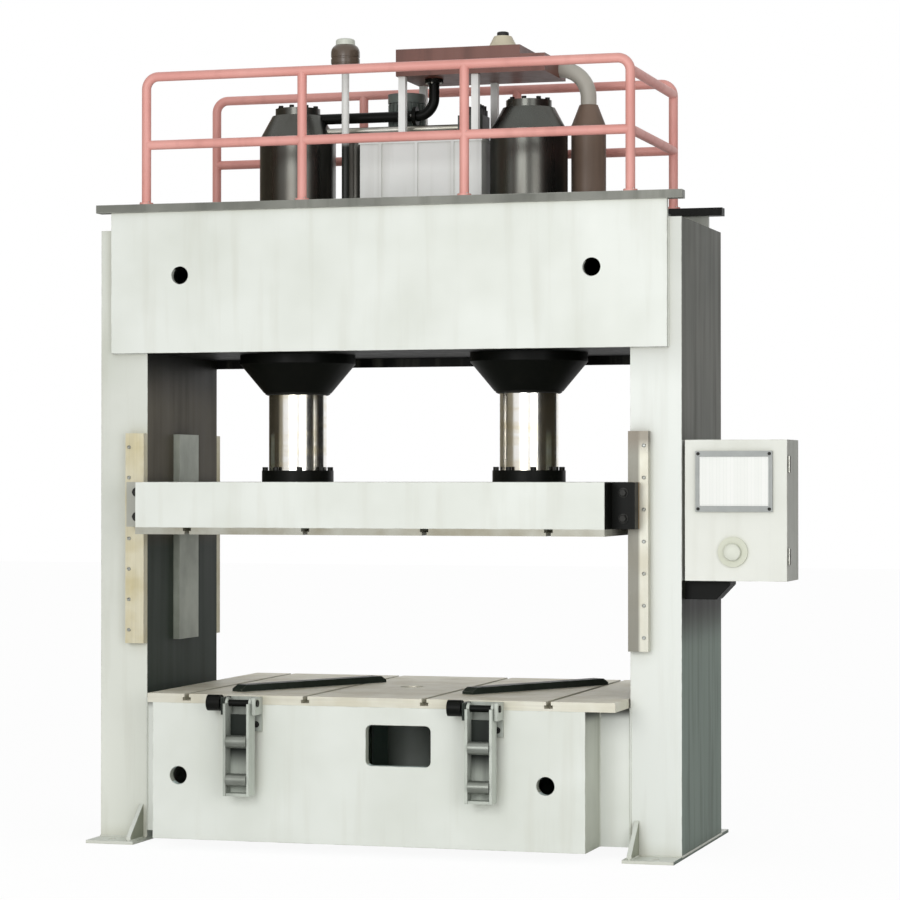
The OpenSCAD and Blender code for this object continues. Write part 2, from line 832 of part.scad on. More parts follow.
// Hinge pins of the arms, each with a knob at its left end
module arm_pins() {
  out = cheek_x + cheek_t + pin_out;
  color([0.1, 0.1, 0.1]) for (x = [-arm_x, arm_x]) {
    bar_x(x - out, x + out, -pin_y, pin_z, arm_pin_d);
    bar_x(x - out - pin_knob_l, x - out, -pin_y, pin_z, pin_knob_d);
  }
}

// Side plate of an arm, seen along X
module arm_side() {
  difference() {
    union() {
      translate([-arm_front, -arm_l]) square([arm_front + arm_back, arm_l]);
      circle(r = arm_back);
    }
    circle(d = arm_pin_d + 2 * arm_pin_gap);
  }
}

// A folding arm hanging from its pin
module arm() {
  translate([arm_x, -pin_y, pin_z]) {
    for (x = [-arm_w / 2, arm_w / 2 - arm_t])
      translate([x, 0, 0]) rotate([90, 0, 90]) linear_extrude(arm_t) arm_side();
    inner = arm_w / 2 - arm_t + 0.5;
    block(-inner, inner, arm_back - arm_t, arm_back, -arm_l, -arm_open);
    block(-inner, inner, -arm_front + arm_lip, arm_back - arm_t + 0.5, -arm_l, -arm_l + arm_t);
    for (z = [roller_a, roller_b])
      bar_x(-arm_w / 2 + 1, arm_w / 2 - 1, -roller_out, -z, axle_d);
  }
}

module left_arm() {
  color([0.5, 0.53, 0.5]) mirror([1, 0, 0]) arm();
}

module right_arm() {
  color([0.5, 0.53, 0.5]) arm();
}

// A roller on its axle
module roller(z) {
  translate([arm_x, -pin_y - roller_out, pin_z - z]) difference() {
    bar_x(-roller_l / 2, roller_l / 2, 0, 0, roller_d);
    bar_x(-roller_l, roller_l, 0, 0, axle_d + 2 * roller_gap);
  }
}

module left_roller_a() {
  color([0.75, 0.75, 0.72]) mirror([1, 0, 0]) roller(roller_a);
}

module left_roller_b() {
  color([0.75, 0.75, 0.72]) mirror([1, 0, 0]) roller(roller_b);
}

module right_roller_a() {
  color([0.75, 0.75, 0.72]) roller(roller_a);
}

module right_roller_b() {
  color([0.75, 0.75, 0.72]) roller(roller_b);
}

// Guides on the uprights' front and rear faces
module face_guides() {
  color([0.8, 0.76, 0.62]) pair() front_rear()
    block(half_open, half_open + face_guide_w, half_d, guide_face, guide_z0, guide_z1);
}

// Guides on the uprights' inner faces
module side_guides() {
  color([0.6, 0.62, 0.58]) pair()
    block(half_open - side_guide_t, half_open, -side_guide_w / 2, side_guide_w / 2, guide_z0, guide_z1);
}

// Welded slide box with ribs under the rams
module slide() {
  color([0.9, 0.92, 0.89]) difference() {
    block(-slide_half, slide_half, -front, front, slide_z0, slide_top);
    pair() {
      block(slide_wall / 2, cyl_x - ram_d / 2, -front + slide_wall, front - slide_wall,
        slide_z0 + slide_wall, slide_top - slide_wall);
      block(cyl_x + ram_d / 2, slide_half - slide_wall, -front + slide_wall, front - slide_wall,
        slide_z0 + slide_wall, slide_top - slide_wall);
    }
  }
}

// Slot bars under the slide, mouths down
module slide_bars() {
  color([0.62, 0.63, 0.6]) translate([0, 0, slide_z0]) mirror([0, 0, 1])
    slot_row(slide_half, slide_half, front, slide_bar);
}

// Dark shoes at the slide's four corners
module guide_shoes() {
  color([0.07, 0.07, 0.07]) pair() front_rear()
    block(slide_half, slide_half + shoe_reach, shoe_y0, shoe_y0 + shoe_t, slide_z0, slide_top);
}

// Bronze liners between the shoes and the face guides, and between the slide's ends and the side guides
module guide_liners() {
  color([0.72, 0.58, 0.3]) pair() {
    front_rear()
      block(half_open + 2, slide_half + shoe_reach, guide_face + guide_gap, shoe_y0, slide_z0, slide_top);
    block(slide_half, half_open - side_guide_t - guide_gap, -side_guide_w / 2 + liner_edge,
      side_guide_w / 2 - liner_edge, slide_z0 + liner_edge, slide_top - liner_edge);
  }
}

// Ground rams with their pistons
module rams() {
  color([0.86, 0.86, 0.84]) pair() {
    bar_z(cyl_x, 0, slide_top, slide_top + ram_h, ram_d);
    bar_z(cyl_x, 0, slide_top + ram_h - piston_h, slide_top + ram_h, cyl_bore - 2 * piston_gap);
  }
}

// Rings that hold the rams to the slide
module ram_flanges() {
  color([0.08, 0.08, 0.08]) pair() difference() {
    bar_z(cyl_x, 0, slide_top, slide_top + flange_h, flange_d);
    bar_z(cyl_x, 0, slide_top - 1, slide_top + flange_h + 1, ram_d + 0.6);
  }
}

// Socket head bolts on the ram flanges
module flange_bolts() {
  color([0.2, 0.2, 0.2]) pair() for (i = [0 : flange_bolts_n - 1])
    translate([cyl_x, 0, slide_top + flange_h]) rotate([0, 0, (i + 0.5) * 360 / flange_bolts_n])
      translate([flange_pcd / 2, 0, 0]) difference() {
        cylinder(d = bolt_head_d, h = bolt_head_h);
        translate([0, 0, bolt_head_h / 2]) cylinder(d = bolt_key / cos(30), h = bolt_head_h, $fn = 6);
      }
}

// Cylinder tubes closed at their upper ends
module cylinders() {
  color([0.13, 0.14, 0.13]) pair() difference() {
    bar_z(cyl_x, 0, crown_z, cyl_top, cyl_od);
    bar_z(cyl_x, 0, crown_z - 1, cyl_top - cyl_end, cyl_bore);
  }
}

// Ejector cylinder hung under the bed's top plate
module ejector_cylinder() {
  z0 = eject_z1 - eject_flange_h - eject_h;
  color([0.3, 0.32, 0.3]) difference() {
    union() {
      bar_z(0, 0, eject_z1 - eject_flange_h, eject_z1, eject_flange_d);
      bar_z(0, 0, z0, eject_z1 - 1, eject_od);
    }
    bar_z(0, 0, z0 + eject_end, eject_z1 + 1, eject_d + 2 * eject_gap);
  }
}

// Ejector rod under the table's centre hole
module ejector_rod() {
  color([0.8, 0.8, 0.78]) bar_z(0, 0, table_z - eject_low - eject_l, table_z - eject_low, eject_d);
}

// Ring nuts that hold the cylinders down on the crown
module ring_nuts() {
  color([0.2, 0.2, 0.2]) pair() difference() {
    bar_z(cyl_x, 0, crown_top, deck_top + nut_h, nut_d);
    bar_z(cyl_x, 0, crown_top - 1, deck_top + nut_h + 1, cyl_od + 2 * sleeve_gap);
    for (a = [0 : 45 : 315]) translate([cyl_x, 0, deck_top + nut_h / 2]) rotate([0, 0, a])
      translate([nut_d / 2 - nut_slot_in, -nut_slot / 2, 0]) cube([nut_slot, nut_slot, nut_h]);
  }
}

// Conical glands under the crown
module glands() {
  color([0.05, 0.05, 0.05]) pair() difference() {
    union() {
      bar_z(cyl_x, 0, crown_z - gland_flange, crown_z, gland_d);
      translate([cyl_x, 0, crown_z - gland_flange - gland_cone_h])
        cylinder(d1 = gland_tip_d, d2 = gland_d, h = gland_cone_h);
    }
    bar_z(cyl_x, 0, crown_z - gland_flange - gland_cone_h - 1, crown_z + 1, bush_d + 0.6);
  }
}

// Bronze bushes inside the glands
module gland_bushes() {
  color([0.72, 0.58, 0.3]) pair() difference() {
    bar_z(cyl_x, 0, crown_z - gland_flange - gland_cone_h, crown_z, bush_d);
    bar_z(cyl_x, 0, crown_z - gland_flange - gland_cone_h - 1, crown_z + 1, ram_d + 2 * bush_gap);
  }
}

// Solid of one filling valve, grown by a stated amount
module valve_body(grow) {
  translate([0, 0, cyl_top]) cylinder(d1 = cyl_od + 2 * grow, d2 = valve_top_d + 2 * grow, h = valve_cone_h);
  bar_z(0, 0, cyl_top + valve_cone_h, valve_top, valve_top_d - 2 * valve_step + 2 * grow);
}

// Conical filling valves on the cylinders' closed ends
module filling_valves() {
  color([0.2, 0.21, 0.19]) pair() translate([cyl_x, 0, 0]) valve_body(0);
}

// Pipe from the left filling valve up to the fill tank
module left_suction_pipe() {
  z = deck_top + pipe_z;
  color([0.1, 0.1, 0.1]) difference() {
    union() {
      bar_x(-cyl_x + pipe_in, pipe_x - pipe_r, 0, z, pipe_d);
      translate([pipe_x - pipe_r, 0, z + pipe_r]) rotate([90, 0, 0]) rotate([0, 0, -90])
        rotate_extrude(angle = 90) translate([pipe_r, 0]) circle(d = pipe_d);
      bar_z(pipe_x, 0, z + pipe_r, fill_bottom, pipe_d);
      bar_z(pipe_x, 0, fill_bottom - pipe_lip_t, fill_bottom, pipe_d + 2 * pipe_lip);
      bar_x(pipe_x - pipe_r - pipe_lip_t, pipe_x - pipe_r, 0, z, pipe_d + 2 * pipe_lip);
    }
    translate([-cyl_x, 0, 0]) valve_body(0.4);
  }
}

// Pipe from the right filter housing to the fill tank's low end
module right_suction_pipe() {
  r = right_bend;
  z = fill_bottom + fill_low_h / 2;
  color([0.62, 0.6, 0.55]) translate([0, filter_y, 0]) {
    translate([fill_x1, 0, z - r]) rotate([90, 0, 0])
      rotate_extrude(angle = 90) translate([r, 0]) circle(d = right_pipe_d);
    bar_z(filter_x, 0, deck_top + filter_h + filter_cone, z - r, right_pipe_d);
  }
}

// Upright filter housings beside the cylinders
module filter_housings() {
  color([0.36, 0.33, 0.29]) {
    bar_z(filter_x, filter_y, deck_top, deck_top + filter_h - filter_cap, filter_d - 2 * filter_lip);
    bar_z(filter_x, filter_y, deck_top + filter_h - filter_cap, deck_top + filter_h, filter_d);
    translate([filter_x, filter_y, deck_top + filter_h])
      cylinder(d1 = filter_d - 2 * filter_lip, d2 = right_pipe_d + 2 * filter_tip, h = filter_cone);
    translate([small_filter_x, small_filter_y, deck_top]) {
      cylinder(d = small_filter_d - 2 * filter_lip, h = small_filter_h - filter_cap);
      translate([0, 0, small_filter_h - filter_cap]) cylinder(d = small_filter_d, h = filter_cap);
    }
  }
}

// Flat fill tank with a low right end
module fill_tank() {
  color([0.3, 0.22, 0.19]) {
    block(fill_x0, fill_xs, fill_y - fill_half, fill_y + fill_half, fill_bottom, fill_bottom + fill_h);
    block(fill_xs - 1, fill_x1, fill_y - fill_half, fill_y + fill_half, fill_bottom,
      fill_bottom + fill_low_h);
  }
}

// Legs between the oil tank and the fill tank
module tank_legs() {
  color([0.55, 0.57, 0.55])
    for (x = [fill_x0 + leg_left, tank_x1 - leg_s - leg_right], y = [fill_y - leg_y - leg_s, fill_y + leg_y])
      block(x, x + leg_s, y, y + leg_s, tank_top, fill_bottom);
}

// Filler breather on the fill tank
module breather() {
  z = fill_bottom + fill_h;
  color([0.8, 0.75, 0.62]) translate([breather_x, fill_y, z]) {
    cylinder(d = breather_neck_d, h = breather_neck_h);
    translate([0, 0, breather_neck_h]) cylinder(d1 = breather_d, d2 = breather_tip_d, h = breather_cone_h);
    translate([0, 0, breather_neck_h + breather_cone_h]) cylinder(d = breather_cap_d, h = breather_cap_h);
  }
}

// Oil tank with a lid and welded ribs on its front
module oil_tank() {
  color([0.82, 0.83, 0.8]) {
    block(tank_x0, tank_x1, tank_y0, tank_y1, deck_top + tank_foot, tank_top - lid_t);
    for (x = [tank_x0, tank_x1 - tank_foot_w], y = [tank_y0, tank_y1 - tank_foot_w])
      block(x, x + tank_foot_w, y, y + tank_foot_w, deck_top, deck_top + tank_foot + 1);
    block(tank_x0 - lid_out, tank_x1 + lid_out, tank_y0 - tank_rib_t, tank_y1 + tank_rib_t, tank_top - lid_t,
      tank_top);
    for (i = [0 : 2]) translate([tank_x0 + tank_rib_x + i * tank_rib_step, 0, 0])
      block(0, tank_rib_w, tank_y0 - tank_rib_t, tank_y0 + 1, deck_top + tank_foot, tank_top - lid_t + 1);
  }
}

// Upright pump motor with cooling fins on the tank's lid
module pump_motor() {
  color([0.22, 0.26, 0.23]) translate([motor_x, motor_y, tank_top]) {
    low = motor_foot + motor_neck;
    body = motor_h - motor_hood - low;
    cylinder(d = motor_d, h = motor_foot);
    translate([0, 0, motor_foot - 1]) cylinder(d = motor_d - 3 * motor_fin, h = motor_neck + 2);
    translate([0, 0, low]) cylinder(d = motor_d - 2 * motor_fin, h = body + 1);
    for (i = [0 : motor_fins - 1]) rotate([0, 0, i * 360 / motor_fins])
      translate([motor_d / 2 - motor_fin - 4, -motor_fin_t / 2, low + 6])
        cube([motor_fin + 3, motor_fin_t, body - 12]);
    translate([0, 0, motor_h - motor_hood]) cylinder(d = motor_d, h = motor_hood);
  }
}

// Valve block on the tank's lid
module valve_block() {
  color([0.15, 0.16, 0.15])
    block(block_x1 - block_l, block_x1, -block_half, block_half, tank_top, tank_top + block_h);
}

// Three solenoid valves on the valve block's top
module solenoids() {
  l = block_l - 2 * solenoid_in;
  color([0.1, 0.1, 0.11]) translate([block_x1 - block_l / 2, 0, tank_top + block_h])
    for (i = [-1 : 1]) translate([0, i * solenoid_step, 0]) {
      translate([-l / 2, -solenoid_w / 2, 0]) cube([l, solenoid_w, solenoid_h]);
      pair() translate([l / 2 - coil_d / 2 - 2, 0, solenoid_h - 1]) cylinder(d = coil_d, h = coil_h);
    }
}

// Straight pressure pipe from the left cylinder to the valve block
module pressure_pipe() {
  color([0.6, 0.6, 0.58]) difference() {
    bar_x(-cyl_x + pipe_in, block_x1 - block_l, -press_y, deck_top + press_z, press_d);
    translate([-cyl_x, 0, 0]) valve_body(0.4);
  }
}

// Pole of the signal lamp with its foot
module lamp_pole() {
  color([0.72, 0.73, 0.72]) {
    bar_z(pole_x, -pole_y, deck_top, deck_top + pole_foot, pole_d + 2 * pole_foot_out);
    bar_z(pole_x, -pole_y, deck_top + pole_foot - 1, deck_top + pole_h, pole_d);
  }
}

// Signal lamp with a tapered cap and a pale tip
module lamp() {
  color([0.25, 0.24, 0.22]) {
    bar_z(pole_x, -pole_y, deck_top + pole_h, deck_top + pole_h + lamp_h, lamp_d);
    translate([pole_x, -pole_y, deck_top + pole_h + lamp_h])
      cylinder(d1 = lamp_d, d2 = lamp_d - 2 * lamp_cap_in, h = lamp_cap_h);
    translate([pole_x, -pole_y, deck_top + pole_h + lamp_h + lamp_cap_h])
      cylinder(d = lamp_d - 2 * lamp_cap_in, h = lamp_tip_h);
  }
}

// Plan of the railing's posts
module each_post() {
  pair() front_rear() {
    translate([post_x, post_y, 0]) children(0);
    translate([mid_post_x, post_y, 0]) children(1);
  }
}

// Front and rear top rails with bent ends, grown by a stated amount
module long_rails(grow) {
  d = rail_d + 2 * grow;
  front_rear() translate([0, post_y, 0]) {
    bar_x(-post_x + rail_r, post_x - rail_r, 0, top_z, d);
    pair() translate([post_x - rail_r, 0, top_z - rail_r]) rotate([90, 0, 0])
      rotate_extrude(angle = 90) translate([rail_r, 0]) circle(d = d);
  }
}

// All post tubes, grown by a stated amount
module post_tubes(grow) {
  each_post() {
    bar_z(0, 0, post_z, top_z - rail_r, rail_d + 2 * grow);
    bar_z(0, 0, post_z, top_z, rail_d + 2 * grow);
  }
}

// Railing posts with base flanges
module railing_posts() {
  color([0.8, 0.3, 0.27]) difference() {
    union() {
      post_tubes(0);
      each_post() {
        bar_z(0, 0, post_z, post_z + post_foot_t, post_foot_d);
        bar_z(0, 0, post_z, post_z + post_foot_t, post_foot_d);
      }
    }
    front_rear()
      bar_x(-mid_post_x - post_foot_d, mid_post_x + post_foot_d, post_y, top_z, rail_d + 2 * rail_gap);
    front_rear()
      block(-mid_post_x - post_foot_d, mid_post_x + post_foot_d, post_y - rail_d, post_y + rail_d, top_z,
        top_z + rail_d);
  }
}

module top_rails() {
  color([0.8, 0.3, 0.27]) long_rails(0);
}

// Middle rails from end to end, grown by a stated amount
module middle_tubes(grow) {
  front_rear() bar_x(-post_x, post_x, post_y, mid_z, rail_d + 2 * grow);
}

// Middle rails between the posts
module mid_rails() {
  color([0.8, 0.3, 0.27]) difference() {
    middle_tubes(0);
    post_tubes(rail_gap);
  }
}

// Rails from front to rear at the right end, the left end stays open
module side_rails() {
  color([0.8, 0.3, 0.27]) difference() {
    for (z = [mid_z, top_z - rail_r + 6]) bar_y(post_x, -post_y, post_y, z, rail_d);
    post_tubes(rail_gap);
    middle_tubes(rail_gap);
    long_rails(rail_gap);
  }
}

// Control box shell with its wall plate and the shelf under it
module control_box() {
  color([0.86, 0.88, 0.86]) {
    difference() {
      block(ctrl_x0, ctrl_x1, -ctrl_y, -ctrl_y + ctrl_d, ctrl_z, ctrl_z + ctrl_h);
      block(ctrl_x0 + ctrl_wall, ctrl_x1 - ctrl_wall, -ctrl_y - 1, -ctrl_y + ctrl_d - ctrl_wall,
        ctrl_z + ctrl_wall, ctrl_z + ctrl_h - ctrl_wall);
    }
    block(half_w, ctrl_x0 + 1, -ctrl_y + mount_y0, -ctrl_y + ctrl_d - mount_y1, ctrl_z + mount_in,
      ctrl_z + ctrl_h - mount_in);
    translate([half_w, -ctrl_y + shelf_y + shelf_d, ctrl_z]) rotate([90, 0, 0]) linear_extrude(shelf_d)
      polygon([[0, 0.5], [shelf_l, 0.5], [shelf_l, -shelf_t], [shelf_l * 0.7, -shelf_h], [0, -shelf_h]]);
  }
}

// Hinged door of the control box
module control_door() {
  color([0.88, 0.9, 0.88])
    block(ctrl_x0, ctrl_x1, -door_y, -door_y + door_t, ctrl_z, ctrl_z + ctrl_h);
}

// Hinge barrels beside the door's right edge
module door_hinges() {
  color([0.4, 0.42, 0.4]) for (z = [ctrl_z + hinge_in, ctrl_z + ctrl_h - hinge_in - hinge_l])
    union() {
      bar_z(ctrl_x1 + hinge_d / 2 + 0.6, -ctrl_y - hinge_d / 2, z, z + hinge_l, hinge_d);
      block(ctrl_x1, ctrl_x1 + hinge_d / 2, -ctrl_y - 0.4, -ctrl_y + hinge_leaf, z, z + hinge_l);
    }
}

// Display frame on the door
module display_frame() {
  x0 = ctrl_x0 + bezel_x;
  z0 = ctrl_z + bezel_z;
  color([0.5, 0.52, 0.52]) difference() {
    block(x0, x0 + bezel_w, -door_y - bezel_t, -door_y, z0, z0 + bezel_h);
    block(x0 + bezel_side, x0 + bezel_w - bezel_side, -door_y - bezel_t - 1, -door_y + 1,
      z0 + bezel_bar, z0 + bezel_h - bezel_bar);
  }
}

// Flat display set into its frame
module display() {
  x0 = ctrl_x0 + bezel_x + bezel_side + 0.5;
  z0 = ctrl_z + bezel_z + bezel_bar + 0.5;
  color([0.95, 0.96, 0.95]) block(x0, x0 + bezel_w - 2 * bezel_side - 1, -door_y - bezel_t * 0.6, -door_y,
    z0, z0 + bezel_h - 2 * bezel_bar - 1);
}

// Round plate behind the stop button
module stop_plate() {
  color([0.86, 0.82, 0.7]) difference() {
    bar_y(ctrl_x0 + stop_x, -door_y - stop_plate_t, -door_y, ctrl_z + stop_z, stop_plate_d);
    bar_y(ctrl_x0 + stop_x, -door_y - stop_plate_t - 1, -door_y + 1, ctrl_z + stop_z,
      stop_stem_d + 2 * stop_gap);
  }
}

// Mushroom stop button
module stop_button() {
  color([0.88, 0.84, 0.72]) {
    translate([ctrl_x0 + stop_x, -door_y - stop_travel - stop_gap, ctrl_z + stop_z]) {
      bar_y(0, -stop_plate_t - 1, 0, 0, stop_stem_d);
      bar_y(0, -stop_plate_t - stop_cap_h, -stop_plate_t, 0, stop_cap_d);
    }
  }
}

left_upright();
right_upright();
sole_plates();
foot_gussets();
crown();
crown_covers();
deck_plate();
deck_edges();
bed();
worktable();
table_bars();
die_rails();
arm_brackets();
arm_pins();
left_arm();
right_arm();
left_roller_a();
left_roller_b();
right_roller_a();
right_roller_b();
face_guides();
side_guides();
slide();
slide_bars();
guide_shoes();
guide_liners();
rams();
ram_flanges();
flange_bolts();
cylinders();
ejector_cylinder();
ejector_rod();
ring_nuts();
glands();
gland_bushes();
filling_valves();
left_suction_pipe();
right_suction_pipe();
filter_housings();
fill_tank();
tank_legs();
breather();
oil_tank();
pump_motor();
valve_block();
solenoids();
pressure_pipe();
lamp_pole();
lamp();
railing_posts();
top_rails();
mid_rails();
side_rails();
control_box();
control_door();
door_hinges();
display_frame();
display();
stop_plate();
stop_button();
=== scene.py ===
import math
import bpy
import bmesh
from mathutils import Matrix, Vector


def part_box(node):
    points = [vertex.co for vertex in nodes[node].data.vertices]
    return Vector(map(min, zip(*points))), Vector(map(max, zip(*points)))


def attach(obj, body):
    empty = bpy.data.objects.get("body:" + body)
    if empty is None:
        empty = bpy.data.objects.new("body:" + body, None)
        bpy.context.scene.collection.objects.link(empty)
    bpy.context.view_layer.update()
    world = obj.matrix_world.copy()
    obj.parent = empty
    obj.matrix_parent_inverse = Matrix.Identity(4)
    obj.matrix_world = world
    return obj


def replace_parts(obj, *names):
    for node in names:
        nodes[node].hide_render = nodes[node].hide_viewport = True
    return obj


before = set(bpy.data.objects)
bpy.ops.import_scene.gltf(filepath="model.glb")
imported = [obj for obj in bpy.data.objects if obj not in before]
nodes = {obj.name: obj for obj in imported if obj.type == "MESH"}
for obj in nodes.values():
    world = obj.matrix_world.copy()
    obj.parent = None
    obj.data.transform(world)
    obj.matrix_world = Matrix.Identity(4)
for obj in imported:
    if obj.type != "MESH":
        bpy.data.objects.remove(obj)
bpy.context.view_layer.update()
scene = bpy.context.scene


def lin(code):
    """A colour written as sRGB hex, as linear light."""
    parts = [int(code[i:i + 2], 16) / 255 for i in (1, 3, 5)]
    return [p / 12.92 if p <= 0.04045 else ((p + 0.055) / 1.055) ** 2.4 for p in parts] + [1.0]


def add(tree, kind, sockets=None, **settings):
    """One node with its settings: an input given another node's output is linked, else it is set."""
    made = tree.nodes.new(kind)
    for name, value in settings.items():
        setattr(made, name, value)
    for name, value in (sockets or {}).items():
        if isinstance(value, bpy.types.NodeSocket):
            tree.links.new(value, made.inputs[name])
        else:
            made.inputs[name].default_value = value
    return made


def per_mm(size):
    """Texture scale for a pattern of that size in millimetres."""
    return 1000.0 / size


def start(name, **fixed):
    """A material with its shader, its constants set on the shader's own sockets."""
    made = bpy.data.materials.new(name)
    made.use_nodes = True
    tree = made.node_tree
    shader = tree.nodes["Principled BSDF"]
    for key, value in fixed.items():
        shader.inputs[key.replace("_", " ")].default_value = value
    place = add(tree, "ShaderNodeTexCoord").outputs["Object"]
    return made, tree, shader, place


# Materials

# Real sizes of the patterns in millimetres
DRIFT_MM, RUN_MM, CHIP_MM, RUB_MM = 480, 60, 22, 55
OIL_MM, RING_MM, MOTTLE_MM, CAST_DRIFT_MM = 170, 40, 45, 120
# Orange peel is about 2 mm across, a sand-cast skin 1 mm and mould grain 0.3 mm; they are drawn
# coarser so that they show
PEEL_MM, SKIN_MM, GRAIN_MM = 7, 5, 3.0
# Plate edges lose their paint over about 2 mm; it is drawn at 6 mm so that it shows
EDGE_WEAR = 0.006
CORNER_REACH = 0.07
RUN_STRETCH = (1.0, 1.0, 0.07)
RING_STRETCH = (0.15, 0.15, 1.0)
STRIPE_X = (1.158, 1.17)


def enamel(name, body, drift, grime_and_shade, rough=0.42, runs=0.35, corner_dust_and_shade=0.0, chip=None, worn=None,
           low=None, band=None, patch=None, shine=0.5, metal=0.0):
    """Sprayed enamel on welded plate: a soft sheen, slow drift of tone, runs of oily dirt, orange peel.

    low: a tone near the foot, and the heights between which it fades. band: a tone, and the heights
    where it starts, peaks and ends. patch: a tone, its last Y, and its lowest and highest Z. On several
    finishes these hold painted shade, and on a few painted light. The grime tone colours the oil runs
    and also the corners, which an ambient occlusion mask darkens as dust and painted shade, as far as
    the corner amount says. chip, worn: the tones of chips and of rubbed edges."""
    made, tree, shader, place = start(name, Specular_IOR_Level=shine, Metallic=metal)
    slow = add(tree, "ShaderNodeTexNoise",
               {"Vector": place, "Scale": per_mm(DRIFT_MM), "Detail": 3.0})
    aged = add(tree, "ShaderNodeMapRange",
               {"Value": slow.outputs[0], "From Min": 0.38, "From Max": 0.68})
    layers = [(aged.outputs[0], drift)]
    if low or band or patch:
        spot = add(tree, "ShaderNodeSeparateXYZ", {0: place}).outputs
    if low:
        tone, full, end = low
        part = add(tree, "ShaderNodeMapRange", {"Value": spot[2], "From Min": full, "From Max": end,
                   "To Min": 1.0, "To Max": 0.0}, interpolation_type="SMOOTHSTEP")
        layers.append((part.outputs[0], tone))
    if band:
        tone, begin, peak, end = band
        rise = add(tree, "ShaderNodeMapRange", {"Value": spot[2], "From Min": begin, "From Max": peak},
                   interpolation_type="SMOOTHSTEP")
        fade = add(tree, "ShaderNodeMapRange", {"Value": spot[2], "From Min": peak, "From Max": end,
                   "To Min": 1.0, "To Max": 0.0}, interpolation_type="SMOOTHSTEP")
        part = add(tree, "ShaderNodeMath", {0: rise.outputs[0], 1: fade.outputs[0]},
                   operation="MULTIPLY")
        layers.append((part.outputs[0], tone))
    if patch:
        tone, last_y, low_z, high_z = patch
        near = add(tree, "ShaderNodeMath", {0: spot[1], 1: last_y}, operation="LESS_THAN")
        above = add(tree, "ShaderNodeMath", {0: spot[2], 1: low_z}, operation="GREATER_THAN")
        below = add(tree, "ShaderNodeMath", {0: spot[2], 1: high_z}, operation="LESS_THAN")
        both = add(tree, "ShaderNodeMath", {0: near.outputs[0], 1: above.outputs[0]},
                   operation="MULTIPLY")
        part = add(tree, "ShaderNodeMath", {0: both.outputs[0], 1: below.outputs[0]},
                   operation="MULTIPLY")
        layers.append((part.outputs[0], tone))
    drawn = add(tree, "ShaderNodeMapping", {"Vector": place, "Scale": RUN_STRETCH})
    run = add(tree, "ShaderNodeTexNoise",
              {"Vector": drawn.outputs[0], "Scale": per_mm(RUN_MM), "Detail": 5.0})
    oily = add(tree, "ShaderNodeMapRange",
               {"Value": run.outputs[0], "From Min": 0.52, "From Max": 0.8, "To Max": runs})
    layers.append((oily.outputs[0], grime_and_shade))
    # Corners darken by an ambient occlusion mask in the grime tone: dust, and painted shade where light
    # falls off
    if corner_dust_and_shade:
        near = add(tree, "ShaderNodeAmbientOcclusion", {"Distance": CORNER_REACH}, samples=6)
        dust_and_shade = add(tree, "ShaderNodeMapRange", {"Value": near.outputs["AO"], "From Min": 0.35,
                    "From Max": 0.95, "To Min": corner_dust_and_shade, "To Max": 0.0})
        layers.append((dust_and_shade.outputs[0], grime_and_shade))
    if chip:
        flecks = add(tree, "ShaderNodeTexNoise",
                     {"Vector": place, "Scale": per_mm(CHIP_MM), "Detail": 6.0, "Roughness": 0.7})
        bare = add(tree, "ShaderNodeMapRange",
                   {"Value": flecks.outputs[0], "From Min": 0.66, "From Max": 0.72})
        layers.append((bare.outputs[0], chip))
    if worn:
        rounded = add(tree, "ShaderNodeBevel", {"Radius": EDGE_WEAR}, samples=4)
        plain = add(tree, "ShaderNodeNewGeometry")
        lean = add(tree, "ShaderNodeVectorMath",
                   {0: rounded.outputs[0], 1: plain.outputs["Normal"]}, operation="DOT_PRODUCT")
        rim = add(tree, "ShaderNodeMapRange",
                  {"Value": lean.outputs["Value"], "From Min": 0.99, "From Max": 0.85})
        uneven = add(tree, "ShaderNodeTexNoise",
                     {"Vector": place, "Scale": per_mm(RUB_MM), "Detail": 5.0})
        rubbed = add(tree, "ShaderNodeMapRange",
                     {"Value": uneven.outputs[0], "From Min": 0.4, "From Max": 0.62, "To Max": 0.75})
        part = add(tree, "ShaderNodeMath", {0: rim.outputs[0], 1: rubbed.outputs[0]},
                   operation="MULTIPLY")
        layers.append((part.outputs[0], worn))
    peel = add(tree, "ShaderNodeTexNoise",
               {"Vector": place, "Scale": per_mm(PEEL_MM), "Detail": 2.0})
    bump = add(tree, "ShaderNodeBump",
               {"Height": peel.outputs[0], "Strength": 0.05, "Distance": 0.0004})
    gloss = add(tree, "ShaderNodeMapRange", {"Value": run.outputs[0], "From Min": 0.3,
                "From Max": 0.75, "To Min": rough - 0.03, "To Max": rough + 0.08})
    colour = lin(body)
    for mask, tone in layers:
        colour = add(tree, "ShaderNodeMix", {0: mask, 6: colour, 7: lin(tone)},
                     data_type="RGBA").outputs[2]
    tree.links.new(colour, shader.inputs["Base Color"])
    tree.links.new(gloss.outputs[0], shader.inputs["Roughness"])
    tree.links.new(bump.outputs[0], shader.inputs["Normal"])
    return made


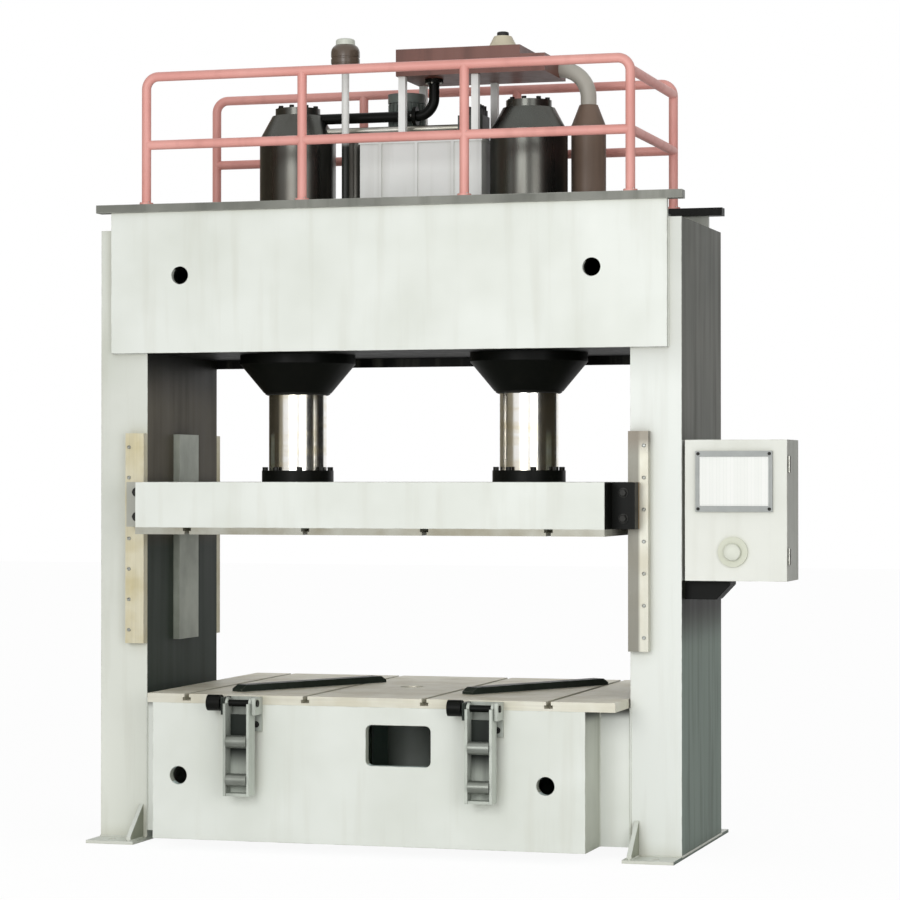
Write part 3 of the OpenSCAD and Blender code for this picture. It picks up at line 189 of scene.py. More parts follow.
def worked_steel(name, body, film, rough=0.36, metal=0.7, lines=(1.0, 0.04, 1.0), line_mm=9,
                 stripe=None, top=None):
    """Planed or ground steel under a film of grease: fine tool lines one way, warm patches of oil.

    Tool lines are under 1 mm apart; line_mm draws them coarser so that they show. A darker stripe tone,
    when given, covers the part nearer the middle than about 1.16 m and fades out by 1.17 m. top: a tone
    of caked grease, and the heights between which it grows."""
    made, tree, shader, place = start(name, Metallic=metal)
    drawn = add(tree, "ShaderNodeMapping", {"Vector": place, "Scale": lines})
    line = add(tree, "ShaderNodeTexNoise",
               {"Vector": drawn.outputs[0], "Scale": per_mm(line_mm), "Detail": 3.0})
    oil = add(tree, "ShaderNodeTexNoise",
              {"Vector": place, "Scale": per_mm(OIL_MM), "Detail": 4.0})
    oily = add(tree, "ShaderNodeMapRange",
               {"Value": oil.outputs[0], "From Min": 0.4, "From Max": 0.66})
    layers = [(oily.outputs[0], film)]
    if stripe or top:
        spot = add(tree, "ShaderNodeSeparateXYZ", {0: place}).outputs
    if stripe:
        out = add(tree, "ShaderNodeMath", {0: spot[0]}, operation="ABSOLUTE")
        darker_stripe = add(tree, "ShaderNodeMapRange", {"Value": out.outputs[0], "From Min": STRIPE_X[0],
                    "From Max": STRIPE_X[1], "To Min": 0.85, "To Max": 0.0})
        layers.append((darker_stripe.outputs[0], stripe))
    if top:
        tone, begin, full = top
        caked = add(tree, "ShaderNodeMapRange",
                    {"Value": spot[2], "From Min": begin, "From Max": full, "To Max": 0.85})
        layers.append((caked.outputs[0], tone))
    colour = lin(body)
    for mask, tone in layers:
        colour = add(tree, "ShaderNodeMix", {0: mask, 6: colour, 7: lin(tone)},
                     data_type="RGBA").outputs[2]
    shade = add(tree, "ShaderNodeMapRange",
                {"Value": line.outputs[0], "To Min": 0.86, "To Max": 1.1})
    lined = add(tree, "ShaderNodeMix", {0: 1.0, 6: colour, 7: shade.outputs[0]},
                data_type="RGBA", blend_type="MULTIPLY")
    gloss = add(tree, "ShaderNodeMapRange",
                {"Value": line.outputs[0], "To Min": rough - 0.08, "To Max": rough + 0.12})
    bump = add(tree, "ShaderNodeBump",
               {"Height": line.outputs[0], "Strength": 0.1, "Distance": 0.0006})
    tree.links.new(lined.outputs[2], shader.inputs["Base Color"])
    tree.links.new(gloss.outputs[0], shader.inputs["Roughness"])
    tree.links.new(bump.outputs[0], shader.inputs["Normal"])
    return made


def hard_chrome(name, body, film):
    """Ground hard chrome on a ram: mirror bright, with faint rings of oil left by the seal."""
    made, tree, shader, place = start(name, Metallic=1.0)
    flat = add(tree, "ShaderNodeMapping", {"Vector": place, "Scale": RING_STRETCH})
    ring = add(tree, "ShaderNodeTexNoise",
               {"Vector": flat.outputs[0], "Scale": per_mm(RING_MM), "Detail": 4.0})
    oily = add(tree, "ShaderNodeMapRange",
               {"Value": ring.outputs[0], "From Min": 0.45, "From Max": 0.75})
    colour = add(tree, "ShaderNodeMix", {0: oily.outputs[0], 6: lin(body), 7: lin(film)},
                 data_type="RGBA")
    gloss = add(tree, "ShaderNodeMapRange",
                {"Value": ring.outputs[0], "To Min": 0.1, "To Max": 0.28})
    tree.links.new(colour.outputs[2], shader.inputs["Base Color"])
    tree.links.new(gloss.outputs[0], shader.inputs["Roughness"])
    return made


def moulded(name, body, shade, rough=0.35):
    """Moulded plastic: even colour with a fine spark-eroded grain."""
    made, tree, shader, place = start(name, IOR=1.49)
    grain = add(tree, "ShaderNodeTexNoise",
                {"Vector": place, "Scale": per_mm(GRAIN_MM), "Detail": 2.0})
    slow = add(tree, "ShaderNodeTexNoise",
               {"Vector": place, "Scale": per_mm(MOTTLE_MM), "Detail": 2.0})
    colour = add(tree, "ShaderNodeMix", {0: slow.outputs[0], 6: lin(body), 7: lin(shade)},
                 data_type="RGBA")
    gloss = add(tree, "ShaderNodeMapRange",
                {"Value": slow.outputs[0], "To Min": rough - 0.05, "To Max": rough + 0.1})
    bump = add(tree, "ShaderNodeBump",
               {"Height": grain.outputs[0], "Strength": 0.08, "Distance": 0.0005})
    tree.links.new(colour.outputs[2], shader.inputs["Base Color"])
    tree.links.new(gloss.outputs[0], shader.inputs["Roughness"])
    tree.links.new(bump.outputs[0], shader.inputs["Normal"])
    return made


def sand_cast(name, body, shade, rough=0.5):
    """Sand-cast iron under thin paint: a pebbled skin."""
    made, tree, shader, place = start(name)
    skin = add(tree, "ShaderNodeTexNoise",
               {"Vector": place, "Scale": per_mm(SKIN_MM), "Detail": 4.0})
    slow = add(tree, "ShaderNodeTexNoise",
               {"Vector": place, "Scale": per_mm(CAST_DRIFT_MM), "Detail": 3.0})
    colour = add(tree, "ShaderNodeMix", {0: slow.outputs[0], 6: lin(body), 7: lin(shade)},
                 data_type="RGBA")
    gloss = add(tree, "ShaderNodeMapRange",
                {"Value": slow.outputs[0], "To Min": rough - 0.1, "To Max": rough + 0.12})
    bump = add(tree, "ShaderNodeBump",
               {"Height": skin.outputs[0], "Strength": 0.3, "Distance": 0.0012})
    tree.links.new(colour.outputs[2], shader.inputs["Base Color"])
    tree.links.new(gloss.outputs[0], shader.inputs["Roughness"])
    tree.links.new(bump.outputs[0], shader.inputs["Normal"])
    return made


# Pale enamels of the frame: satin coats that aged unevenly, with oil runs and rubbed edges; several are
# lighter and darker copies of the light grey that hold painted light and shade
light = enamel("light grey enamel", "#E7EBE4", "#DCE0D7", "#B9B6A2", runs=0.2, corner_dust_and_shade=0.5,
               worn="#8C8B7E")
# The left upright's front: a darker copy of the light grey, painted shade, lighter towards the foot,
# painted light where the light falls off low down
left_front = enamel("light grey enamel on the left upright", "#DADDD4", "#CFD3C8", "#B0AD99",
                    runs=0.25, corner_dust_and_shade=0.5, low=("#E9ECE2", 0.3, 1.3), worn="#85847A")
# The right upright's front: a darker copy of the light grey above 2.25 m, painted shade beside the
# crown, and light grey below 2.0 m
right_front = enamel("light grey enamel on the right upright", "#D6D9D2", "#CDD1C9", "#B3B0A0",
                     runs=0.2, corner_dust_and_shade=0.5, low=("#EAEEE8", 2.0, 2.25), worn="#8C8B80")
bar_grey = enamel("worn grey enamel on the deck's edge", "#92938B", "#63655E", "#47483F", runs=0.4,
                  shine=0.2, worn="#B0B1A8")
# A darker copy of the light grey on the covers' ends and tops and on the crown's ends: painted shade
edge_grey = enamel("grey enamel on plate edges", "#CDD1C9", "#BFC3B9", "#9A998A", runs=0.3)
# The bed's ends: a darker copy of the light grey, painted shade, with a painted shadow near the top
# under the table's overhang
end_grey = enamel("grey enamel on the bed's ends", "#C2C6B8", "#B4B8AA", "#80826F", runs=0.35,
                  band=("#1B1D17", 0.585, 0.64, 0.8))
# The block under the table: lighter than the light grey, painted light in its recess, with a painted
# shadow near the top under the table's overhang
block_light = enamel("light grey enamel under the table", "#EFF2EC", "#E5E9E1", "#C9C7B6", runs=0.2,
                     band=("#3A3C33", 0.59, 0.64, 0.8))
# The rear cover's inside: grey, painted shade, turning black below 2.6 m, painted shade under the crown
cover_back = enamel("enamel behind the rear cover", "#B4B6AE", "#A5A79F", "#77776D", shine=0.15,
                    low=("#0F100D", 2.3, 2.6))
# Inside the bed: near white, painted light so that it shows through the window out of its shade
bed_inside = enamel("grey enamel inside the bed", "#E6F5F1", "#D4E4DF", "#85928E", shine=0.2)
shoe_grey = enamel("grey enamel on the left shoes", "#B4B5AA", "#A4A59A", "#6A6A5F", runs=0.3)
# The stiffeners' sides: olive, painted shade of faces turned from the light
olive = enamel("olive enamel on stiffeners", "#A4A896", "#949886", "#6C6F60", runs=0.35)

# Dark enamels: low gloss, so that they stay dark in a white room, with long runs of oil; most of them
# are painted shade on sides, inner walls, recesses and undersides
# The sides' dark grey green is painted shade of faces turned from the light, lighter green towards the
# foot
WALL = ("#62635A", "#54574E", "#38392F")
WALL_FOOT = ("#7C8A80", 0.9, 1.15)
side_green = enamel("dark grey green enamel", *WALL, runs=0.5, shine=0.15, low=WALL_FOOT, corner_dust_and_shade=0.4)
# The right upright's outer wall: the painted side shade, a painted shadow under the control box, and a
# light patch behind the box's left edge, painted light in the gap
box_wall = enamel("sooty grey green enamel", *WALL, runs=0.5, shine=0.15, low=WALL_FOOT, corner_dust_and_shade=0.4,
                  band=("#161913", 0.86, 1.12, 1.5), patch=("#EEF1EA", -0.375, 1.194, 1.796))
# The uprights' inner walls: dark brownish, painted shade of the inner sides; darker green below 1.3 m,
# a painted shadow of the slide; black near the crown, painted shade; light below 0.64 m, painted light
# under the bed
inner_green = enamel("oily dark enamel inside", "#625B4C", "#514B3E", "#2E2C24", runs=0.4, shine=0.12,
                     low=("#2D382F", 1.3, 1.42), corner_dust_and_shade=0.5, band=("#0A0B08", 1.92, 2.2, 2.6),
                     patch=("#E4E7DE", 1.0, 0.0, 0.64))
# Undersides of the crown, its covers and the table: black, painted shade
under_black = enamel("black painted shade on undersides", "#0F100D", "#0A0B09", "#1C1A16", runs=0.3, shine=0.1)
# Black enamel of the glands, flanges, pins and the left suction pipe; on the slide's ends, the right
# shoes and the box's shelf it is painted shade
black = enamel("black enamel", "#080A07", "#0D0E0B", "#1A1813", rough=0.4, runs=0.3, shine=0.12)
arm_dark = enamel("dark green enamel", "#2A312B", "#222822", "#151813", runs=0.5, shine=0.15,
                  worn="#6B6F68")
# Inside the arms' recess: dark, painted shade, pale below 0.34 m
arm_inside = enamel("enamel inside the arms", "#262C27", "#1F2520", "#151813", runs=0.4, shine=0.2,
                    low=("#BFC5BB", 0.34, 0.46))
arm_grey = enamel("grey green enamel", "#CCD2C8", "#BBC1B7", "#5A5D56", runs=0.45, corner_dust_and_shade=0.5,
                  worn="#6E7068")

# Enamels of the deck, the railing and the control box
drum_black = enamel("graphite enamel", "#595B57", "#504D48", "#332D27", rough=0.27, runs=0.3,
                    metal=0.95)
deck_grey = enamel("worn grey enamel on the deck", "#7B807B", "#6C716C", "#4A4B45", rough=0.5,
                   chip="#A5A6A0")
red = enamel("faded red enamel", "#E8A89E", "#DB958B", "#B5796D", runs=0.3, chip="#CDB3AB")
brown = enamel("brown enamel", "#6E4033", "#5A352B", "#2A201A", rough=0.4, runs=0.45, worn="#8A6A5C")
tank_pale = enamel("pale grey enamel", "#EDEFEC", "#E0E3DF", "#A9A89C", runs=0.3, corner_dust_and_shade=0.5)
filter_brown = enamel("brown grey enamel", "#7B695C", "#6B5A4D", "#3D342C", runs=0.4, shine=0.3)
pipe_beige = enamel("beige grey enamel", "#B9B6AB", "#A8A498", "#7C7568")
pole_pale = enamel("pale enamel on the pole", "#E6E8E4", "#D8DAD5", "#97968A", shine=0.3,
                   low=("#1F221E", 3.13, 3.17))
box_pale = enamel("textured pale enamel", "#EAECE4", "#E1E3DA", "#BFBDAC", rough=0.5, runs=0.15,
                  corner_dust_and_shade=0.4, worn="#9C9A8C")
# The box's right side and underside and the door's edges: darker grey, painted shade
box_side = enamel("grey enamel on the box", "#C0C1B9", "#B0B1A9", "#6E6E66", rough=0.5, runs=0.3)

# Worked metals: tool lines along the cut, grease in warm patches
ALONG_X, ALONG_Z, ROUND = (0.04, 1.0, 1.0), (1.0, 1.0, 0.03), (0.05, 1.0, 1.0)
planed = worked_steel("planed table steel", "#F4F0DF", "#E0D9C2", rough=0.46, metal=0.2)
table_edge = worked_steel("planed table edge", "#DCDACB", "#CFCBB8", metal=0.2, lines=ALONG_X)
slotted = worked_steel("milled steel bars", "#A9A99E", "#8F8B7A", rough=0.4, metal=0.4)
guide = worked_steel("ground guide steel", "#D8D2B8", "#C8BD95", lines=ALONG_Z, metal=0.3)
guide_pale = worked_steel("guide steel with a darker inner strip", "#D2D1C3", "#C2BEAC", lines=ALONG_Z, metal=0.3,
                          stripe="#6E6C62", top=("#776F62", 1.73, 1.8))
guide_inner = worked_steel("greased guide steel", "#A9AEA2", "#8F9488", lines=ALONG_Z, metal=0.4)
turned = worked_steel("turned steel", "#B9B9B2", "#9B988A", rough=0.3, metal=0.9, lines=ROUND,
                      line_mm=4)
roller_steel = worked_steel("oiled roller steel", "#8D918A", "#757970", rough=0.34, metal=0.6,
                            lines=ROUND, line_mm=4)
bolt_steel = worked_steel("blackened bolt steel", "#2E2E2C", "#21211F", rough=0.42, metal=0.8,
                          line_mm=5)
zinc = worked_steel("zinc plated bolt steel", "#A9ACA8", "#8F8F86", metal=0.85, line_mm=5)
bronze = worked_steel("bearing bronze", "#B08A4C", "#8E6B36", rough=0.34, metal=0.9,
                      lines=(1.0, 1.0, 0.05))
chrome = hard_chrome("hard chrome", "#EFEDE8", "#E2D9C2")

# Castings, with a pebbled skin, and plastics, with an even sheen
cast = sand_cast("painted cast iron", "#3C3F3A", "#2B2D29")
motor_green = sand_cast("grey green cast iron", "#6F7873", "#5A625D")
pale_cast = sand_cast("pale painted cast iron", "#C9CDC8", "#B4B9B3")
lamp_dark = moulded("smoked lamp plastic", "#65584C", "#54483E", rough=0.22)
lamp_pale = moulded("milky lamp plastic", "#D9DDD2", "#CBD0C4", rough=0.3)
beige = moulded("beige plastic", "#DDD6BE", "#D0C8AE")
stop_grey = moulded("pale grey plastic", "#E2E5D8", "#D5D8C9")
stop_ring = moulded("grey green plastic", "#D8DBC9", "#CBCEBB")
grey_plastic = moulded("grey display plastic", "#A3A7A4", "#939794")
rubber = moulded("black rubber", "#1B1B1A", "#242321", rough=0.6)

# Unlit display: nearly white glass with a faint raster
RASTER_MM = 30
screen, screen_tree, screen_shader, screen_place = start("display glass", Roughness=0.3,
                                                         Specular_IOR_Level=0.15)
raster = add(screen_tree, "ShaderNodeTexBrick",
             {"Vector": screen_place, "Scale": per_mm(RASTER_MM), "Color1": lin("#F6F7F3"),
              "Color2": lin("#F0F2ED"), "Mortar": lin("#E8EBE6"), "Mortar Size": 0.02})
screen_tree.links.new(raster.outputs[0], screen_shader.inputs["Base Color"])


# Paint on the solids

# A face counts as facing a way when its normal leans that far along it
FACING = 0.7
INNER_WALL_X, OUTER_EDGE_X, CROWN_END_X = 1.2, 1.3, 1.0
BED_FRONT_Y, BLOCK_Y = 0.68, (0.43, 0.44)
ARM_X, ARM_INSIDE_HALF = 0.545, 0.045
LEFT_CHEEKS_X, CHEEK_HALF = (-0.616, 0.474), 0.012
SHELF_TOP = 1.1938


def coat(names, material):
    """One finish all over the named solids."""
    for name in names.split():
        made = nodes[name].data
        made.materials.clear()
        made.materials.append(material)


def coat_faces(names, choose):
    """A finish for each face, chosen by which way it faces and where it lies."""
    for name in names.split():
        made = nodes[name].data
        made.materials.clear()
        order = []
        for face in made.polygons:
            want = choose(face.normal, face.center)
            if want not in order:
                order.append(want)
                made.materials.append(want)
            face.material_index = order.index(want)


# Uprights: fronts and backs take the light grey copies; inner and outer walls take dark enamel, painted
# shade
def upright_finish(normal, centre):
    if abs(normal.y) > FACING:
        return right_front if centre.x > 0.0 else left_front
    if abs(normal.x) > FACING and abs(centre.x) < INNER_WALL_X:
        return inner_green
    return box_wall if normal.x > FACING else side_green


# Soles: outer ends take the dark side enamel, painted shade
def sole_finish(normal, centre):
    return side_green if abs(normal.x) > FACING and abs(centre.x) > OUTER_EDGE_X else light


# Stiffeners: sides in painted shade, the rest light grey
def gusset_finish(normal, centre):
    return olive if abs(normal.x) > FACING else light


# Covers: fronts light grey; the rear cover's inside, the undersides, ends and tops take painted shade
def cover_finish(normal, centre):
    if abs(normal.y) > FACING:
        return cover_back if centre.y > 0.0 and normal.y < 0.0 else light
    return under_black if normal.z < -FACING else edge_grey


# The bed: ends in painted shade, the front light grey, the block under the table lightened with a
# painted shadow, and the inside lightened as painted light
def bed_finish(normal, centre):
    if abs(normal.x) > FACING:
        return end_grey
    if abs(normal.y) > FACING and abs(centre.y) > BED_FRONT_Y:
        return light
    if abs(normal.y) > FACING and BLOCK_Y[0] < abs(centre.y) < BLOCK_Y[1]:
        return block_light
    return bed_inside


# Shoes: black on the right, painted shade at the slide's shaded end; grey on the left
def shoe_finish(normal, centre):
    return black if centre.x > 0.0 else shoe_grey


# Table: top and edges planed steel, underside black as painted shade
def table_finish(normal, centre):
    if normal.z < -FACING:
        return under_black
    return planed if normal.z > FACING else table_edge


# Slide: front light grey, ends black as painted shade
def slide_finish(normal, centre):
    return black if abs(normal.x) > FACING else light


# Arms: the recess in painted shade, the rest grey green
def arm_finish(normal, centre):
    return arm_inside if abs(abs(centre.x) - ARM_X) < ARM_INSIDE_HALF else arm_grey


# Box: the shelf black as painted shade under the box, the right side and underside grey as painted
# shade, the rest pale
def shelf_or_box_finish(normal, centre):
    if centre.z < SHELF_TOP:
        return black
    return box_side if normal.x > FACING or normal.z < -FACING else box_pale


# Door: front and top pale, edges grey as painted shade
def door_finish(normal, centre):
    return box_pale if abs(normal.y) > FACING or normal.z > FACING else box_side


def guide_finish(normal, centre):
    return guide_pale if centre.x > 0.0 else guide


def filter_finish(normal, centre):
    return filter_brown if centre.x > 0.0 else drum_black


# The crown: black, painted shade under the covers, and grey on its ends, painted shade
def crown_finish(normal, centre):
    return edge_grey if abs(normal.x) > FACING and abs(centre.x) > CROWN_END_X else under_black


def deck_edge_finish(normal, centre):
    return bar_grey if centre.y < 0.0 else black


# Arm brackets: the left cheeks dark, painted shade in the gap beside each arm; the rest grey green
def bracket_finish(normal, centre):
    return arm_dark if min(abs(centre.x - x) for x in LEFT_CHEEKS_X) < CHEEK_HALF else arm_grey


coat_faces("left_upright right_upright", upright_finish)
coat_faces("sole_plates", sole_finish)
coat_faces("foot_gussets", gusset_finish)
coat_faces("crown_covers", cover_finish)
coat_faces("crown", crown_finish)
coat_faces("bed", bed_finish)
coat_faces("worktable table_bars", table_finish)
coat_faces("slide", slide_finish)
coat_faces("guide_shoes", shoe_finish)
coat_faces("face_guides", guide_finish)
coat_faces("left_arm right_arm", arm_finish)
coat_faces("arm_brackets", bracket_finish)
coat_faces("control_box", shelf_or_box_finish)
coat_faces("control_door", door_finish)
coat_faces("filter_housings", filter_finish)
coat_faces("deck_edges", deck_edge_finish)
coat("deck_plate", deck_grey)
coat("die_rails", arm_dark)
coat("arm_pins ram_flanges glands left_suction_pipe", black)
coat("left_roller_a left_roller_b right_roller_a right_roller_b", roller_steel)
coat("side_guides", guide_inner)
coat("slide_bars", slotted)
coat("guide_liners gland_bushes", bronze)
coat("rams ejector_rod", chrome)
coat("flange_bolts", bolt_steel)
coat("cylinders filling_valves", drum_black)
coat("ring_nuts valve_block", cast)
coat("ejector_cylinder", pale_cast)
coat("right_suction_pipe", pipe_beige)
coat("fill_tank", brown)
coat("tank_legs oil_tank", tank_pale)
coat("lamp_pole", pole_pale)
coat("lamp", lamp_dark)
coat("breather", beige)
coat("pump_motor", motor_green)
coat("solenoids", rubber)
coat("pressure_pipe door_hinges", turned)
coat("railing_posts top_rails mid_rails side_rails", red)
coat("stop_plate stop_button", stop_ring)
coat("display_frame", grey_plastic)
coat("display", screen)


# Fasteners, welds and tread, grown by Geometry Nodes

# Parts of a hexagon head against its radius and height
WASHER_WIDE, CREST_SLIM, CREST_HIGH = 1.25, 0.84, 0.12
WASHER_SIDES, CAP_SIDES, BEAD_SIDES, LOZENGE_SIDES = 20, 16, 7, 8
# Steps along a weld for each of its ripples, and a lozenge's top against its foot
RIPPLE_STEP, LOZENGE_TOP = 0.34, 0.6


def tree_with(name, sizes):
    """An empty Geometry Nodes tree with a named input for each size, and a finish."""
    tree = bpy.data.node_groups.new(name, "GeometryNodeTree")
    tree.interface.new_socket("Geometry", in_out="INPUT", socket_type="NodeSocketGeometry")
    tree.interface.new_socket("Geometry", in_out="OUTPUT", socket_type="NodeSocketGeometry")
    for label in sizes:
        tree.interface.new_socket(label, in_out="INPUT", socket_type="NodeSocketFloat")
    tree.interface.new_socket("Finish", in_out="INPUT", socket_type="NodeSocketMaterial")
    return tree, tree.nodes.new("NodeGroupInput").outputs


def close(tree, given, shape):
    """Ends a tree in real geometry with its finish."""
    real = add(tree, "GeometryNodeRealizeInstances", {"Geometry": shape})
    dressed = add(tree, "GeometryNodeSetMaterial",
                  {"Geometry": real.outputs[0], "Material": given["Finish"]})
    leave = tree.nodes.new("NodeGroupOutput")
    tree.links.new(dressed.outputs[0], leave.inputs["Geometry"])
    return tree


def stacked(tree, parts):
    """The parts of a head in one, each raised to its own height."""
    whole = add(tree, "GeometryNodeJoinGeometry")
    for part, height in parts:
        up = add(tree, "ShaderNodeCombineXYZ", {"Z": height.outputs[0]})
        raised = add(tree, "GeometryNodeTransform",
                     {"Geometry": part.outputs["Mesh"], "Translation": up.outputs[0]})
        tree.links.new(raised.outputs[0], whole.inputs[0])
    return whole.outputs[0]


def placed(tree, given, head, axis="Z"):
    """A head on every point, one axis of it along the point's outward direction."""
    way = add(tree, "GeometryNodeInputNamedAttribute", {"Name": "outward"}, data_type="FLOAT_VECTOR")
    turn = add(tree, "FunctionNodeAlignRotationToVector", {"Vector": way.outputs["Attribute"]},
               axis=axis)
    return add(tree, "GeometryNodeInstanceOnPoints", {"Points": given["Geometry"], "Instance": head,
               "Rotation": turn.outputs[0]}).outputs[0]


def hex_tree():
    """Hexagon heads with a chamfer on a round washer."""
    tree, given = tree_with("hexagon heads", ["Head radius", "Head height", "Washer height"])
    radius, height, base = given["Head radius"], given["Head height"], given["Washer height"]
    wide = add(tree, "ShaderNodeMath", {0: radius, 1: WASHER_WIDE}, operation="MULTIPLY")
    slim = add(tree, "ShaderNodeMath", {0: radius, 1: CREST_SLIM}, operation="MULTIPLY")
    lid = add(tree, "ShaderNodeMath", {0: height, 1: CREST_HIGH}, operation="MULTIPLY")
    ring = add(tree, "GeometryNodeMeshCylinder",
               {"Vertices": WASHER_SIDES, "Radius": wide.outputs[0], "Depth": base})
    body = add(tree, "GeometryNodeMeshCylinder", {"Vertices": 6, "Radius": radius, "Depth": height})
    crest = add(tree, "GeometryNodeMeshCone", {"Vertices": 6, "Radius Bottom": radius,
                "Radius Top": slim.outputs[0], "Depth": lid.outputs[0]})
    ring_mid = add(tree, "ShaderNodeMath", {0: base, 1: 0.5}, operation="MULTIPLY")
    body_mid = add(tree, "ShaderNodeMath", {0: height, 1: 0.5, 2: base}, operation="MULTIPLY_ADD")
    body_top = add(tree, "ShaderNodeMath", {0: height, 1: base}, operation="ADD")
    head = stacked(tree, [(ring, ring_mid), (body, body_mid), (crest, body_top)])
    return close(tree, given, placed(tree, given, head))


def socket_tree():
    """Round cap screws with a sunk socket."""
    tree, given = tree_with("cap screws",
                            ["Head radius", "Head height", "Socket radius", "Socket depth"])
    radius, height, bore = given["Head radius"], given["Head height"], given["Socket radius"]
    both = add(tree, "ShaderNodeMath", {0: radius, 1: bore}, operation="ADD")
    wall = add(tree, "ShaderNodeMath", {0: radius, 1: bore}, operation="SUBTRACT")
    left = add(tree, "ShaderNodeMath", {0: height, 1: given["Socket depth"]}, operation="SUBTRACT")
    mean = add(tree, "ShaderNodeMath", {0: both.outputs[0], 1: 0.5}, operation="MULTIPLY")
    path = add(tree, "GeometryNodeCurvePrimitiveCircle",
               {"Resolution": CAP_SIDES, "Radius": mean.outputs[0]})
    section = add(tree, "GeometryNodeCurvePrimitiveQuadrilateral",
                  {"Width": wall.outputs[0], "Height": height})
    rim = add(tree, "GeometryNodeCurveToMesh",
              {"Curve": path.outputs[0], "Profile Curve": section.outputs[0]})
    base = add(tree, "GeometryNodeMeshCylinder",
               {"Vertices": 6, "Radius": bore, "Depth": left.outputs[0]})
    rim_mid = add(tree, "ShaderNodeMath", {0: height, 1: 0.5}, operation="MULTIPLY")
    base_mid = add(tree, "ShaderNodeMath", {0: left.outputs[0], 1: 0.5}, operation="MULTIPLY")
    head = stacked(tree, [(rim, rim_mid), (base, base_mid)])
    return close(tree, given, placed(tree, given, head))


def weld_tree():
    """Weld beads along edges, with the ripple of a hand-laid run."""
    tree, given = tree_with("weld beads", ["Bead radius", "Ripple length", "Ripple depth"])
    line = add(tree, "GeometryNodeMeshToCurve", {"Mesh": given["Geometry"]})
    step = add(tree, "ShaderNodeMath", {0: given["Ripple length"], 1: RIPPLE_STEP},
               operation="MULTIPLY")
    fine = add(tree, "GeometryNodeResampleCurve",
               {"Curve": line.outputs[0], "Length": step.outputs[0]}, mode="LENGTH")
    along = add(tree, "GeometryNodeSplineParameter")
    beat = add(tree, "ShaderNodeMath", {0: along.outputs["Length"], 1: given["Ripple length"]},
               operation="DIVIDE")
    turn = add(tree, "ShaderNodeMath", {0: beat.outputs[0], 1: 2.0 * math.pi}, operation="MULTIPLY")
    wave = add(tree, "ShaderNodeMath", {0: turn.outputs[0]}, operation="SINE")
    swell = add(tree, "ShaderNodeMath", {0: wave.outputs[0], 1: given["Ripple depth"], 2: 1.0},
                operation="MULTIPLY_ADD")
    section = add(tree, "GeometryNodeCurvePrimitiveCircle",
                  {"Resolution": BEAD_SIDES, "Radius": given["Bead radius"]})
    bead = add(tree, "GeometryNodeCurveToMesh",
               {"Curve": fine.outputs[0], "Profile Curve": section.outputs[0],
                "Scale": swell.outputs[0], "Fill Caps": True})
    return close(tree, given, bead.outputs[0])


def tread_tree():
    """Raised lozenges of a tread plate, turned this way and that."""
    tree, given = tree_with("tread lozenges", ["Length", "Width", "Height"])
    base = add(tree, "GeometryNodeMeshCone", {"Vertices": LOZENGE_SIDES, "Radius Bottom": 1.0,
               "Radius Top": LOZENGE_TOP, "Depth": 1.0})
    size = add(tree, "ShaderNodeCombineXYZ",
               {"X": given["Length"], "Y": given["Width"], "Z": given["Height"]})
    bar = add(tree, "GeometryNodeTransform",
              {"Geometry": base.outputs["Mesh"], "Scale": size.outputs[0]})
    return close(tree, given, placed(tree, given, bar.outputs[0], "X"))


def grow(name, body, slot, finish, tree, mesh, **sizes):
    """Runs a tree on a mesh of points or edges and keeps the result as a plain piece on a body."""
    seed = bpy.data.objects.new(name + "_seed", mesh)
    scene.collection.objects.link(seed)
    work = seed.modifiers.new("grow", "NODES")
    work.node_group = tree
    for item in tree.interface.items_tree:
        if item.in_out == "INPUT" and item.name != "Geometry":
            given = finish if item.name == "Finish" else sizes[item.name.lower().replace(" ", "_")]
            work[item.identifier] = given
    ready = seed.evaluated_get(bpy.context.evaluated_depsgraph_get())
    made = bpy.data.meshes.new_from_object(ready)
    seed.modifiers.remove(work)
    bpy.data.objects.remove(seed)
    made.name = name
    piece = bpy.data.objects.new(name, made)
    scene.collection.objects.link(piece)
    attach(piece, body)
    return piece


def spots(places):
    """Loose points, each with its outward direction."""
    made = bpy.data.meshes.new("spots")
    made.from_pydata([p for p, out in places], [], [])
    way = made.attributes.new("outward", "FLOAT_VECTOR", "POINT")
    for item, (p, out) in zip(way.data, places):
        item.vector = out
    return made


def runs_of(lines):
    """Separate straight edges."""
    made = bpy.data.meshes.new("runs")
    ends = [end for line in lines for end in line]
    made.from_pydata(ends, [(2 * i, 2 * i + 1) for i in range(len(lines))], [])
    return made


def ring_of(centre, radius, count, out, turn=0.0):
    """Points on a circle round an axis."""
    axis = Vector(out)
    side = axis.orthogonal().normalized()
    other = axis.cross(side)
    turns = [turn + 2 * math.pi * i / count for i in range(count)]
    return [(Vector(centre) + radius * (math.cos(t) * side + math.sin(t) * other), out)
            for t in turns]


def middle(name):
    """Middle of a solid's box."""
    low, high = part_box(name)
    return [(a + b) / 2 for a, b in zip(low, high)]


HEX, SOCKET, WELD, TREAD = hex_tree(), socket_tree(), weld_tree(), tread_tree()
LEFT, FRONT, REAR, UP, DOWN = (-1, 0, 0), (0, -1, 0), (0, 1, 0), (0, 0, 1), (0, 0, -1)
SIDES = (-1.0, 1.0)
CORNERS = [(sx, sy, REAR if sy > 0 else FRONT) for sx in SIDES for sy in SIDES]
CYL_X = 0.55

# Screws in the face guides
SCREW_COUNT, SCREW_PITCH, SCREW_FIRST, SCREW_INSET = 7, 0.137, 0.06, 0.018
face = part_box("face_guides")
grow("guide_screws", "frame", "machined_steel", zinc, SOCKET,
     spots([((sx * (face[1][0] - SCREW_INSET), sy * face[1][1],
              face[0][2] + SCREW_FIRST + SCREW_PITCH * i), out)
            for sx, sy, out in CORNERS for i in range(SCREW_COUNT)]),
     head_radius=0.008, head_height=0.005, socket_radius=0.004, socket_depth=0.0025)

